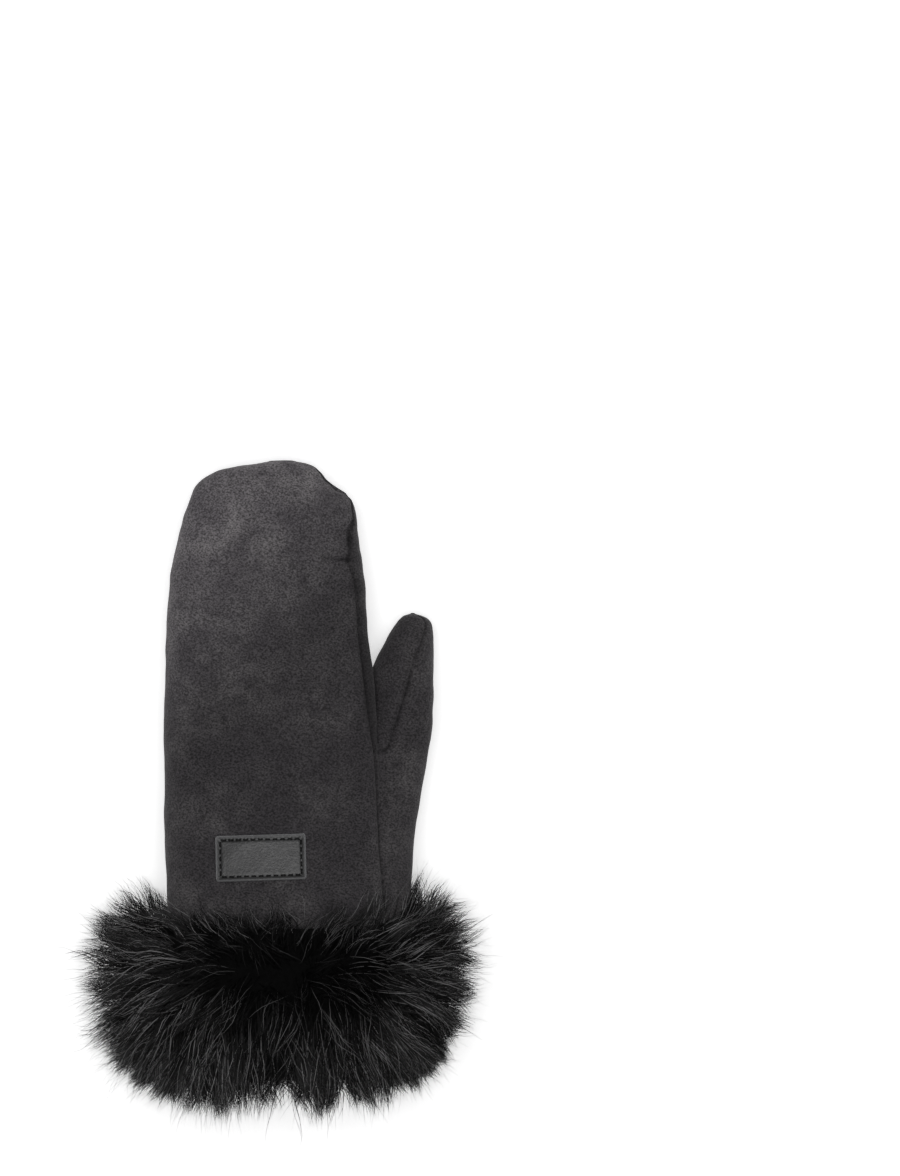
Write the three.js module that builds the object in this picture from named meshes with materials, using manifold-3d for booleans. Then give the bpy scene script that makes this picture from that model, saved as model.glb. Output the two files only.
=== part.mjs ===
// A left-hand sheepskin mitten, lying palm down with its fingers towards +Y and its thumb towards +X.
// Millimetres, +Z up. The origin is on the flat of the palm where it rests, in line with the thumb's base.
//
// The hand is one hollow body with a hollow thumb. It is cut into three panels of suede along its seams:
// the back, the palm with the inner half of the thumb, and the thumb with the heel of the hand.
// Round the wrist is a leather tube with long fur, whose locks are fused to it.

import * as THREE from 'three';
import { mergeVertices } from 'three/addons/utils/BufferGeometryUtils.js';
import Module from 'manifold-3d';

const wasm = await Module();
wasm.setup();

// Driving sizes
const bodyLength = 213.6; // cuff seam to fingertip
const palmWidth = 96.4; // across the palm, without the thumb
const bodyHeight = 39; // thickness of the palm as it lies
const cuffSeamY = -62; // where the suede ends and the fur cuff begins
const cuffLift = 12; // height of the cuff's underside, on its pressed fur
const wall = 3; // suede with its clipped pile
const thumbReach = 144.8; // cuff seam to thumb tip, along Y
const thumbWidth = 29;
const thumbHeight = 27;
const webAlong = 0.594; // share of thumbReach at which the thumb parts from the palm
const webBlend = 0.025; // just below it, where the seams begin to part
const palmSeamX = 0.114 * palmWidth; // the straight seam between the palm and the heel of the thumb
const seamGap = 0.3; // between two panels, and between a piece and its seat
const seamDepth = 1.3; // how far a seam is drawn in
const webGap = 0.8; // air between the thumb and the palm above the web
const cuffTubeLength = 56; // leather under the fur, along Y
const hairLength = 37; // fur outside the tube
const patchLength = 40.5;
const patchWidth = 20.3;
const patchThickness = 1.6;
const patchTurn = 1.8; // degrees, right end higher
const patchX = -0.07 * palmWidth; // its middle
const patchY = cuffSeamY + 0.166 * bodyLength;

// Sections of the hand. along is a share of bodyLength from the cuff seam. left, right and seam are shares
// of palmWidth from the axis, and seam is where the back's edge runs. base is a share of cuffLift, below
// zero where the palm is pressed flat. thick is a share of bodyHeight. high is how far up its right side
// the section is widest.
const bodySections = [
  { along: 0.000, left: 0.512, right: 0.580, seam: 0.520, base: 1.00, thick: 0.97, high: 0.60 },
  { along: 0.060, left: 0.516, right: 0.530, seam: 0.506, base: 0.74, thick: 1.00, high: 0.63 },
  { along: 0.120, left: 0.519, right: 0.500, seam: 0.493, base: 0.46, thick: 1.02, high: 0.66 },
  { along: 0.200, left: 0.522, right: 0.487, seam: 0.478, base: 0.13, thick: 1.03, high: 0.68 },
  { along: 0.262, left: 0.523, right: 0.482, seam: 0.472, base: -0.10, thick: 1.03, high: 0.68 },
  { along: 0.370, left: 0.523, right: 0.478, seam: 0.460, base: -0.20, thick: 1.02, high: 0.68 },
  { along: 0.460, left: 0.526, right: 0.466, seam: 0.428, base: -0.22, thick: 1.01, high: 0.68 },
  { along: 0.540, left: 0.523, right: 0.446, seam: 0.404, base: -0.22, thick: 1.00, high: 0.66 },
  { along: 0.620, left: 0.519, right: 0.426, seam: 0.385, base: -0.22, thick: 0.98, high: 0.64 },
  { along: 0.700, left: 0.510, right: 0.411, seam: 0.366, base: -0.20, thick: 0.95, high: 0.61 },
  { along: 0.780, left: 0.489, right: 0.394, seam: 0.354, base: -0.17, thick: 0.90, high: 0.58 },
  { along: 0.840, left: 0.456, right: 0.378, seam: 0.346, base: -0.13, thick: 0.85, high: 0.55 },
  { along: 0.880, left: 0.434, right: 0.371, seam: 0.343, base: -0.05, thick: 0.80, high: 0.53 },
  { along: 0.915, left: 0.406, right: 0.346, seam: 0.322, base: 0.04, thick: 0.74, high: 0.51 },
  { along: 0.940, left: 0.384, right: 0.300, seam: 0.272, base: 0.14, thick: 0.67, high: 0.50 },
  { along: 0.960, left: 0.344, right: 0.240, seam: 0.208, base: 0.26, thick: 0.59, high: 0.50 },
  { along: 0.978, left: 0.280, right: 0.196, seam: 0.160, base: 0.42, thick: 0.48, high: 0.50 },
  { along: 0.991, left: 0.180, right: 0.160, seam: 0.120, base: 0.62, thick: 0.34, high: 0.50 },
  { along: 1.000, left: 0.075, right: 0.130, seam: 0.080, base: 0.84, thick: 0.19, high: 0.50 },
];

// Sections of the thumb, from inside the hand to its tip. along is a share of thumbReach. mid, its middle,
// is a share of palmWidth from the axis, and half one of thumbWidth. upper and lower are where the thumb's
// two seams run, as shares from its left edge to its right; below the web the lower one is the palm's seam.
// base is a share of cuffLift, thick one of thumbHeight, and lean how far it leans for each step up.
const thumbSections = [
  { along: 0.000, mid: 0.176, half: 1.449, upper: 0.80, lower: 0.03, base: 1.00, thick: 1.28, lean: 0.00 },
  { along: 0.085, mid: 0.191, half: 1.433, upper: 0.78, lower: 0.03, base: 0.74, thick: 1.27, lean: 0.00 },
  { along: 0.180, mid: 0.210, half: 1.396, upper: 0.75, lower: 0.03, base: 0.46, thick: 1.25, lean: 0.00 },
  { along: 0.290, mid: 0.231, half: 1.365, upper: 0.72, lower: 0.03, base: 0.13, thick: 1.22, lean: 0.00 },
  { along: 0.410, mid: 0.263, half: 1.340, upper: 0.67, lower: 0.03, base: -0.12, thick: 1.16, lean: 0.08 },
  { along: 0.500, mid: 0.302, half: 1.270, upper: 0.62, lower: 0.03, base: -0.18, thick: 1.10, lean: 0.20 },
  { along: 0.552, mid: 0.342, half: 1.170, upper: 0.58, lower: 0.03, base: -0.20, thick: 1.06, lean: 0.32 },
  { along: 0.578, mid: 0.384, half: 1.044, upper: 0.71, lower: 0.03, base: -0.20, thick: 1.05, lean: 0.40 },
  { along: 0.610, mid: 0.445, half: 0.863, upper: 0.68, lower: 0.03, base: -0.20, thick: 1.04, lean: 0.44 },
  { along: 0.650, mid: 0.513, half: 0.660, upper: 0.60, lower: 0.03, base: -0.20, thick: 1.03, lean: 0.42 },
  { along: 0.700, mid: 0.553, half: 0.550, upper: 0.57, lower: 0.04, base: -0.20, thick: 1.02, lean: 0.34 },
  { along: 0.760, mid: 0.574, half: 0.510, upper: 0.60, lower: 0.05, base: -0.19, thick: 1.02, lean: 0.20 },
  { along: 0.810, mid: 0.583, half: 0.494, upper: 0.64, lower: 0.05, base: -0.17, thick: 1.00, lean: 0.10 },
  { along: 0.860, mid: 0.598, half: 0.447, upper: 0.68, lower: 0.06, base: -0.12, thick: 0.96, lean: 0.04 },
  { along: 0.905, mid: 0.609, half: 0.396, upper: 0.76, lower: 0.08, base: -0.02, thick: 0.88, lean: 0.00 },
  { along: 0.945, mid: 0.621, half: 0.321, upper: 0.82, lower: 0.10, base: 0.12, thick: 0.75, lean: 0.00 },
  { along: 0.975, mid: 0.631, half: 0.255, upper: 0.82, lower: 0.18, base: 0.32, thick: 0.55, lean: 0.00 },
  { along: 1.000, mid: 0.629, half: 0.150, upper: 0.74, lower: 0.24, base: 0.60, thick: 0.28, lean: 0.00 },
];

// Shallow dents in the back. across is a share of palmWidth from the axis, along one of bodyLength, depth
// and reach are lengths as shares of bodyHeight, and turn is the way in which a fold runs, in degrees.
const backDents = [
  { across: -0.16, along: 0.55, depth: 0.035, reach: 0.75, narrow: 0.45, turn: 100 },
  { across: 0.20, along: 0.70, depth: 0.045, reach: 0.55, narrow: 0.35, turn: 60 },
  { across: 0.33, along: 0.845, depth: 0.070, reach: 0.22, narrow: 0.12, turn: 20 },
  { across: 0.24, along: 0.940, depth: 0.060, reach: 0.25, narrow: 0.14, turn: 130 },
  { across: -0.08, along: 0.965, depth: 0.050, reach: 0.22, narrow: 0.12, turn: 80 },
  { across: -0.30, along: 0.35, depth: 0.030, reach: 0.60, narrow: 0.30, turn: 110 },
  { across: 0.25, along: 0.42, depth: 0.030, reach: 0.60, narrow: 0.30, turn: 75 },
];

// The fur's outline over the tube, as a closed loop: along is a share of cuffTubeLength from the cuff seam
// towards the wrist, and out a share of hairLength.
const furProfile = [
  { along: -0.10, out: 0.05 },
  { along: -0.18, out: 0.16 },
  { along: -0.14, out: 0.32 },
  { along: 0.06, out: 0.46 },
  { along: 0.32, out: 0.54 },
  { along: 0.62, out: 0.54 },
  { along: 0.90, out: 0.46 },
  { along: 1.10, out: 0.32 },
  { along: 1.20, out: 0.16 },
  { along: 1.14, out: 0.04 },
  { along: 0.94, out: -0.04 },
  { along: 0.20, out: -0.04 },
];

// Rows of locks over the fur. along and out say where they are rooted, as in furProfile. lean is the angle
// from straight out towards the wrist, length a share of hairLength, and wide one of lockWidth.
const lockRows = [
  { along: -0.04, out: 0.14, lean: -58, length: 0.66, wide: 0.85, count: 18 },
  { along: 0.12, out: 0.30, lean: -34, length: 0.66, wide: 1.00, count: 17 },
  { along: 0.30, out: 0.34, lean: -4, length: 0.66, wide: 1.05, count: 17 },
  { along: 0.50, out: 0.34, lean: 26, length: 0.74, wide: 1.05, count: 17 },
  { along: 0.74, out: 0.28, lean: 48, length: 0.78, wide: 1.05, count: 17 },
  { along: 0.94, out: 0.16, lean: 66, length: 0.80, wide: 1.00, count: 16 },
];

// How the fur lies round the wrist. The angle is measured from +X over the top, in degrees. reach is a share
// of hairLength, and swept moves the fur along the tube by a share of cuffTubeLength.
const furLie = [
  { angle: 0, reach: 0.98, swept: -0.24 },
  { angle: 45, reach: 0.96, swept: -0.10 },
  { angle: 90, reach: 0.94, swept: 0.00 },
  { angle: 135, reach: 1.04, swept: 0.06 },
  { angle: 180, reach: 1.24, swept: 0.10 },
  { angle: 225, reach: 1.04, swept: 0.06 },
  { angle: 270, reach: 0.80, swept: 0.00 },
  { angle: 315, reach: 0.88, swept: -0.10 },
  { angle: 360, reach: 0.98, swept: -0.24 },
];

const topRound = 2.5; // how square the sections are above and below, 2 for an ellipse
const baseRound = 2.2;
const thumbRound = 2.2;
const leftWidest = 0.44; // how far up its left side the hand is widest
const thumbWidest = 0.50;
const ulnarSeamAngle = 200; // the seam on the little finger's side, low on the section
const ringsPerSection = 1;
const backColumns = [0, 0.035, 0.10, 0.20, 0.30, 0.40, 0.50, 0.60, 0.70, 0.80, 0.90, 0.965, 1];
const palmColumns = [0.035, 0.10, 0.18, 0.27, 0.36, 0.45, 0.54, 0.63, 0.72, 0.81, 0.90, 0.965];
const thumbColumns = 18;
const furColumns = 32;
const cornerTrim = 0.62; // how much shorter the fur is at the wrist's two corners
const furParting = 0.10; // how ragged the fur's skin is, as a share of its depth
const lockSides = 4;
const lockWidth = 10; // half the width of a lock at its root
const lockFlatness = 0.6;
const lockUnevenness = 0.2; // share by which locks differ in length
const lockTurning = 12; // degrees by which they turn from their rows
const lockSweep = 1.4; // how much more they are swept than the mass under them
const lockDroop = { back: 0.25, down: 0.12 }; // how far a lock's tip falls, as shares of its length
const lockTaper = [
  { along: 0.00, wide: 0.95 },
  { along: 0.58, wide: 0.90 },
  { along: 1.00, wide: 0.08 },
];
const patchSteps = 6;
const patchRows = 3;
const thinnest = 0.2; // half the height of the hollow at its very tip
const deep = wall * 2.7; // a seam's cut goes this far in, past the wall
const far = bodyHeight * 1.6; // and this far out
const beyond = bodyLength + palmWidth; // past the whole mitten
const radialSeamFacing = 52; // which way the leather faces along the two seams, in degrees
const ulnarSeamFacing = 196;

const radians = (degrees) => (degrees * Math.PI) / 180;
const mix = (from, to, share) => from + (to - from) * share;
const power = (value, exponent) => Math.sign(value) * Math.abs(value) ** exponent;

/** A column of a table at any key, on a smooth curve through its rows that never overshoots them. */
function read(table, key, column, at) {
  const last = table.length - 1;
  const row = Math.min(last - 1, Math.max(0, table.findIndex((entry) => entry[key] > at) - 1));
  const index = at >= table[last][key] ? last - 1 : row;
  const slope = (i) => {
    if (i <= 0 || i >= last) return 0;
    const before = (table[i][column] - table[i - 1][column]) / (table[i][key] - table[i - 1][key]);
    const after = (table[i + 1][column] - table[i][column]) / (table[i + 1][key] - table[i][key]);
    return before * after <= 0 ? 0 : (2 * before * after) / (before + after);
  };
  const step = table[index + 1][key] - table[index][key];
  const t = Math.min(1, Math.max(0, (at - table[index][key]) / step));
  const startPart = (2 * t ** 3 - 3 * t ** 2 + 1) * table[index][column];
  const endPart = (3 * t ** 2 - 2 * t ** 3) * table[index + 1][column];
  const startTurn = (t ** 3 - 2 * t ** 2 + t) * step * slope(index);
  const endTurn = (t ** 3 - t ** 2) * step * slope(index + 1);
  return startPart + endPart + startTurn + endTurn;
}

/** The keys of a table's rows, with extra ones between each two. */
function stations(table, key, between) {
  const keys = [];
  for (let i = 0; i < table.length - 1; i++) {
    for (let k = 0; k < between; k++) keys.push(mix(table[i][key], table[i + 1][key], k / between));
  }
  return [...keys, table[table.length - 1][key]];
}

/** The sides of a loft: each ring joined to the next, all with equally many points. */
function sides(rings) {
  const count = rings[0].length;
  const faces = [];
  for (let r = 0; r < rings.length - 1; r++) {
    for (let i = 0; i < count; i++) {
      const a = r * count + i;
      const b = r * count + ((i + 1) % count);
      faces.push(a, b, b + count, a, b + count, a + count);
    }
  }
  return faces;
}

/** A closed solid through round rings, each end filled by a fan about its middle. */
function loft(rings) {
  const count = rings[0].length;
  const points = rings.flat();
  const faces = sides(rings);
  for (const [ring, first] of [[rings[0], 0], [rings[rings.length - 1], points.length - count]]) {
    const middle = points.length;
    const centre = ring.reduce((sum, point) => sum.add(point), new THREE.Vector3()).divideScalar(count);
    points.push(centre);
    for (let i = 0; i < count; i++) {
      const pair = [first + i, first + ((i + 1) % count)];
      faces.push(middle, ...(first === 0 ? pair.reverse() : pair));
    }
  }
  return closed(points, faces);
}

/** A closed solid through outlines of any shape across Y, such as a cut along the seams. */
function prism(outlines) {
  const count = outlines[0].length;
  const points = outlines.flat();
  const faces = sides(outlines);
  for (const [outline, first] of [[outlines[0], 0], [outlines[outlines.length - 1], points.length - count]]) {
    const flat = outline.map((point) => new THREE.Vector2(point.x, point.z));
    const turned = THREE.ShapeUtils.isClockWise(flat) === (first === 0);
    for (const [a, b, c] of THREE.ShapeUtils.triangulateShape(flat, [])) {
      faces.push(first + a, ...(turned ? [first + b, first + c] : [first + c, first + b]));
    }
  }
  return closed(points, faces);
}

/** A closed ring solid: each ring joins the next and the last joins the first. */
function ringLoft(rings) {
  const count = rings[0].length;
  const faces = [];
  for (let r = 0; r < rings.length; r++) {
    const next = ((r + 1) % rings.length) * count;
    for (let i = 0; i < count; i++) {
      const j = (i + 1) % count;
      faces.push(r * count + i, r * count + j, next + j, r * count + i, next + j, next + i);
    }
  }
  return closed(rings.flat(), faces);
}

/** A solid from points and faces, turned so that its faces point outwards. */
function closed(points, faces) {
  let volume = 0;
  for (let i = 0; i < faces.length; i += 3) {
    const [a, b, c] = [points[faces[i]], points[faces[i + 1]], points[faces[i + 2]]];
    volume += a.dot(b.clone().cross(c));
  }
  if (volume < 0) faces.reverse();
  const vertProperties = new Float32Array(points.flatMap((point) => point.toArray()));
  const triVerts = new Uint32Array(faces);
  return new wasm.Manifold(new wasm.Mesh({ numProp: 3, vertProperties, triVerts }));
}

/** A solid from a three.js geometry. */
function solid(geometry) {
  const plain = geometry.clone();
  plain.deleteAttribute('normal');
  plain.deleteAttribute('uv');
  const merged = mergeVertices(plain);
  const vertProperties = new Float32Array(merged.attributes.position.array);
  const triVerts = new Uint32Array(merged.index.array);
  return new wasm.Manifold(new wasm.Mesh({ numProp: 3, vertProperties, triVerts }));
}

/** The largest body of a solid, without the crumbs that a cut leaves. */
function mainBody(shape) {
  return shape.decompose().sort((a, b) => b.volume() - a.volume())[0];
}

/** The lengths of one section of the hand, at a share of its length. */
function handSection(along) {
  const column = (name) => read(bodySections, 'along', name, along);
  const base = column('base') * cuffLift;
  return {
    y: cuffSeamY + along * bodyLength,
    left: -column('left') * palmWidth,
    right: column('right') * palmWidth,
    seam: column('seam') * palmWidth,
    base,
    top: base + column('thick') * bodyHeight,
    leftWidest,
    rightWidest: column('high'),
    topRound,
    baseRound,
    lean: 0,
  };
}

/** The lengths of one section of the thumb, at a share of its reach. */
function thumbSection(along) {
  const column = (name) => read(thumbSections, 'along', name, along);
  const base = column('base') * cuffLift;
  const left = column('mid') * palmWidth - column('half') * thumbWidth;
  const right = column('mid') * palmWidth + column('half') * thumbWidth;
  return {
    y: cuffSeamY + along * thumbReach,
    left,
    right,
    upper: mix(left, right, column('upper')),
    lower: along < webAlong ? palmSeamX : mix(left, right, column('lower')),
    lean: column('lean'),
    base,
    top: base + column('thick') * thumbHeight,
    leftWidest: thumbWidest,
    rightWidest: thumbWidest,
    topRound: thumbRound,
    baseRound: thumbRound,
  };
}

/** A point on a section, at an angle from its right edge over the top, inset from its outline. */
function onSection(section, angle, inset) {
  const above = Math.sin(angle) >= 0;
  const round = 2 / (above ? section.topRound : section.baseRound);
  const across = power(Math.cos(angle), round);
  const rise = Math.abs(Math.sin(angle)) ** round;
  const middle = (section.left + section.right) / 2;
  const half = (section.right - section.left) / 2 - inset;
  const widest = mix(section.leftWidest, section.rightWidest, (1 + across) / 2);
  const z = mix(section.base, section.top, widest);
  const lid = Math.max(section.top - inset, z + thinnest);
  const floor = Math.min(section.base + inset, z - thinnest);
  const height = mix(z, above ? lid : floor, rise);
  const leaning = section.lean * (height - (section.base + section.top) / 2);
  return new THREE.Vector3(middle + half * across + leaning, section.y, Math.max(inset, height));
}

/** The angle at which the back's edge meets the section. */
function seamAngle(section) {
  const half = (section.right - section.left) / 2;
  const across = (section.seam - (section.left + section.right) / 2) / half;
  return Math.acos(Math.min(0.995, across) ** (section.topRound / 2));
}

/** How far the dents press the back in at a place. */
function dentAt(x, y) {
  let depth = 0;
  for (const dent of backDents) {
    const dx = x - dent.across * palmWidth;
    const dy = y - (cuffSeamY + dent.along * bodyLength);
    const turn = radians(dent.turn);
    const run = (dx * Math.cos(turn) + dy * Math.sin(turn)) / (dent.reach * bodyHeight);
    const side = (dy * Math.cos(turn) - dx * Math.sin(turn)) / (dent.narrow * bodyHeight);
    depth += dent.depth * bodyHeight * Math.exp(-(run ** 2) - side ** 2);
  }
  return depth;
}

/** A ring of the hand's outside or inside, with columns along the two seams, which are drawn in. */
function handRing(along, inset) {
  const section = handSection(along);
  const start = seamAngle(section);
  const end = radians(ulnarSeamAngle);
  const back = backColumns.map((share) => mix(start, end, share));
  const palm = palmColumns.map((share) => mix(end, start + 2 * Math.PI, share));
  const middle = (section.base + section.top) / 2;
  const centre = new THREE.Vector3((section.left + section.right) / 2, section.y, middle);
  return [...back, ...palm].map((angle, i) => {
    const point = onSection(section, angle, inset);
    const onSeam = i === 0 || i === backColumns.length - 1;
    if (onSeam && inset === 0) point.addScaledVector(centre.clone().sub(point).normalize(), seamDepth);
    if (i > 0 && i < backColumns.length - 1) point.z -= dentAt(point.x, point.y);
    return point;
  });
}

/** The hand as a full solid, inset by a wall or grown where the inset is below zero. */
function hand(inset) {
  const rings = [];
  for (const along of stations(bodySections, 'along', ringsPerSection)) {
    rings.push(handRing(along, inset));
  }
  if (inset > 0) shorten(rings, inset);
  return loft(rings);
}

/** The thumb as a full solid, from inside the hand to its tip. */
function thumb(inset) {
  const rings = [];
  for (const along of stations(thumbSections, 'along', ringsPerSection)) {
    const section = thumbSection(along);
    const ring = [];
    for (let i = 0; i < thumbColumns; i++) {
      ring.push(onSection(section, (2 * Math.PI * i) / thumbColumns, inset));
    }
    rings.push(ring);
  }
  if (inset > 0) shorten(rings, inset);
  return loft(rings);
}

/** Draws an inner skin's tip back by the wall, and its open end out past the cuff. */
function shorten(rings, inset) {
  const tip = rings[rings.length - 1][0].y;
  const start = rings[0][0].y;
  for (const ring of rings) {
    for (const point of ring) {
      const share = (point.y - start) / (tip - start);
      point.y = mix(start - inset, tip - inset, share);
    }
  }
}

/** A solid on one side of a cut along the seams: an outline in each section, carried past both ends. */
function region(table, outlineAt) {
  const rings = stations(table, 'along', 1).map(outlineAt);
  const carried = (ring, shift) => ring.map((point) => point.clone().add(new THREE.Vector3(0, shift, 0)));
  return prism([carried(rings[0], -far), ...rings, carried(rings[rings.length - 1], far)]);
}

/** The space of the back's panel, or of all that lies below its two seams, moved off the cut by a gap. */
function sideOfBack(above, gap) {
  return region(bodySections, (along) => {
    const section = handSection(along);
    const radial = onSection(section, seamAngle(section), 0);
    const ulnar = onSection(section, radians(ulnarSeamAngle), 0);
    const radialOut = facing(radialSeamFacing);
    const ulnarOut = facing(ulnarSeamFacing);
    const inwards = Math.min(deep, radial.distanceTo(ulnar) * 0.3);
    const side = above ? gap / 2 : -gap / 2;
    radial.add(new THREE.Vector3(-radialOut.z * side, 0, radialOut.x * side));
    ulnar.add(new THREE.Vector3(ulnarOut.z * side, 0, -ulnarOut.x * side));
    const cut = [
      ulnar.clone().addScaledVector(ulnarOut, far),
      ulnar.clone().addScaledVector(ulnarOut, -inwards),
      radial.clone().addScaledVector(radialOut, -inwards),
      radial.clone().addScaledVector(radialOut, far),
    ];
    const edge = above ? beyond : -beyond;
    const y = section.y;
    if (above) return [...cut, new THREE.Vector3(cut[3].x, y, edge), new THREE.Vector3(cut[0].x, y, edge)];
    return [
      ...cut,
      new THREE.Vector3(beyond, y, cut[3].z),
      new THREE.Vector3(beyond, y, edge),
      new THREE.Vector3(cut[0].x, y, edge),
    ];
  });
}

/** The space of the thumb's panel, grown over its cut by a gap. */
function besideThumb(gap) {
  return region(thumbSections, (along) => {
    const section = thumbSection(along);
    const y = section.y;
    const middleZ = (section.base + section.top) / 2;
    const upper = new THREE.Vector3(section.upper - gap, y, section.top);
    const lower = new THREE.Vector3(section.lower - gap, y, Math.max(0, section.base) + wall * 1.2 + gap);
    const free = section.lower > palmSeamX || along > webAlong - webBlend;
    const inner = new THREE.Vector3(free ? mix(lower.x, upper.x, 0.5) : lower.x + wall, y, middleZ + gap);
    return [
      new THREE.Vector3(lower.x, y, -far),
      lower,
      inner,
      new THREE.Vector3(mix(inner.x, upper.x, 0.5), y, middleZ + gap),
      new THREE.Vector3(upper.x, y, upper.z + far),
      new THREE.Vector3(beyond, y, upper.z + far),
      new THREE.Vector3(beyond, y, -far),
    ];
  });
}

/** A unit vector across the sections, at an angle from +X towards +Z. */
function facing(degrees) {
  return new THREE.Vector3(Math.cos(radians(degrees)), 0, Math.sin(radians(degrees)));
}

/** A box between two corners. */
function block(low, high) {
  const box = new THREE.BoxGeometry(high[0] - low[0], high[1] - low[1], high[2] - low[2]);
  box.translate((low[0] + high[0]) / 2, (low[1] + high[1]) / 2, (low[2] + high[2]) / 2);
  return solid(box);
}

/** The whole leather shell of hand and thumb, open at the cuff, with the thumb free above its web. */
function shell() {
  const webY = cuffSeamY + webAlong * thumbReach;
  const aboveWeb = block([-beyond, webY, -far], [beyond, beyond, beyond]);
  const outer = hand(0).subtract(thumb(-webGap).intersect(aboveWeb)).add(thumb(0));
  const inner = hand(wall).subtract(thumb(-webGap - wall).intersect(aboveWeb)).add(thumb(wall));
  return outer.subtract(inner);
}

const leather = shell();
const belowBack = leather.intersect(sideOfBack(false, seamGap));
const backPanel = mainBody(leather.intersect(sideOfBack(true, seamGap)));
const thumbPanel = mainBody(belowBack.intersect(besideThumb(0)));
const palmPanel = mainBody(belowBack.subtract(besideThumb(seamGap)));

/** The height of the back's outer skin over a place, for what is sewn on it. */
function backHeight(x, y) {
  const section = handSection((y - cuffSeamY) / bodyLength);
  const half = (section.right - section.left) / 2;
  const across = (x - (section.left + section.right) / 2) / half;
  const widest = mix(section.leftWidest, section.rightWidest, (1 + across) / 2);
  const rise = (1 - Math.abs(across) ** topRound) ** (1 / topRound);
  return mix(mix(section.base, section.top, widest), section.top, rise) - dentAt(x, y);
}

/** The leather patch, laid over the back's curve. */
function patch() {
  const rings = [];
  const turn = radians(patchTurn);
  for (let i = 0; i <= patchSteps; i++) {
    const run = mix(-patchLength / 2, patchLength / 2, i / patchSteps);
    const above = [];
    const below = [];
    for (let k = 0; k <= patchRows; k++) {
      const side = mix(-patchWidth / 2, patchWidth / 2, k / patchRows);
      const x = patchX + run * Math.cos(turn) - side * Math.sin(turn);
      const y = patchY + run * Math.sin(turn) + side * Math.cos(turn);
      const seat = backHeight(x, y) + seamGap;
      below.push(new THREE.Vector3(x, y, seat));
      above.unshift(new THREE.Vector3(x, y, seat + patchThickness));
    }
    rings.push([...below, ...above]);
  }
  return loft(rings);
}

/** A repeatable number from -1 to 1 for each place in a pattern. */
function scatter(a, b, c) {
  const wave = Math.sin(a * 127.1 + b * 311.7 + c * 74.7) * 43758.5453;
  return (wave - Math.floor(wave)) * 2 - 1;
}

/** The wrist's section, which the fur's tube goes on from at the same size. */
function wristSection(y) {
  const hands = handSection(0);
  const thumbs = thumbSection(0);
  return { ...hands, right: Math.max(hands.right, thumbs.right), lean: 0, y };
}

/** How the fur lies at an angle round the wrist. */
function furLieAt(column, angle) {
  return read(furLie, 'angle', column, ((angle * 180) / Math.PI + 360) % 360);
}

/** The length of the fur round the wrist and along the tube, trimmed towards the wrist's two corners. */
function furLength(angle, along) {
  const corner = Math.cos(angle) ** 2 * Math.min(1, Math.max(0, along)) ** 2;
  return hairLength * furLieAt('reach', angle) * (1 - cornerTrim * corner);
}

/** A place in the fur: round the wrist by an angle, along the tube, and out from it. */
function inFur(angle, along, out) {
  const swept = furLieAt('swept', angle) * Math.max(0, out);
  const section = wristSection(cuffSeamY - (along + swept) * cuffTubeLength);
  return onSection(section, angle, 0).addScaledVector(outwards(angle), out * furLength(angle, along));
}

/** Straight out from the wrist's tube at an angle. */
function outwards(angle) {
  return new THREE.Vector3(Math.cos(angle), 0, Math.sin(angle) * 1.25).normalize();
}

/** The mass of the fur, whose skin is parted into ragged strips. */
function furBody() {
  const rings = furProfile.map((row, r) => {
    const ring = [];
    for (let i = 0; i < furColumns; i++) {
      const parted = 1 + furParting * scatter(i, r, 1) * (row.out > 0 ? 1 : 0);
      const shift = furParting * 0.4 * scatter(i, r, 2);
      ring.push(inFur((2 * Math.PI * i) / furColumns, row.along + shift, row.out * parted));
    }
    return ring;
  });
  return ringLoft(rings);
}

/** One lock of fur: a bent, tapering spike from inside the mass. */
function lock(angle, row, turn) {
  const root = inFur(angle, row.along, row.out);
  const lean = radians(row.lean + lockTurning * scatter(turn, row.lean, 3));
  const heading = angle + radians(lockTurning * scatter(turn, row.lean, 4));
  const length = row.length * furLength(angle, row.along) * (1 + lockUnevenness * scatter(turn, row.lean, 5));
  const straight = outwards(heading).multiplyScalar(Math.cos(lean));
  straight.y = -Math.sin(lean) - furLieAt('swept', angle) * lockSweep;
  const fall = new THREE.Vector3(0, -lockDroop.back, -lockDroop.down);
  const across = straight.clone().cross(new THREE.Vector3(0, 1, 0)).normalize();
  const over = across.clone().cross(straight).normalize();
  const rings = lockTaper.map((step) => {
    const centre = root.clone().addScaledVector(straight, length * step.along);
    centre.addScaledVector(fall, length * step.along ** 2);
    const ring = [];
    for (let i = 0; i < lockSides; i++) {
      const around = (2 * Math.PI * i) / lockSides;
      const half = step.wide * row.wide * lockWidth;
      const point = centre.clone().addScaledVector(across, half * Math.cos(around));
      ring.push(point.addScaledVector(over, half * lockFlatness * Math.sin(around)));
    }
    return ring;
  });
  return loft(rings);
}

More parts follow.
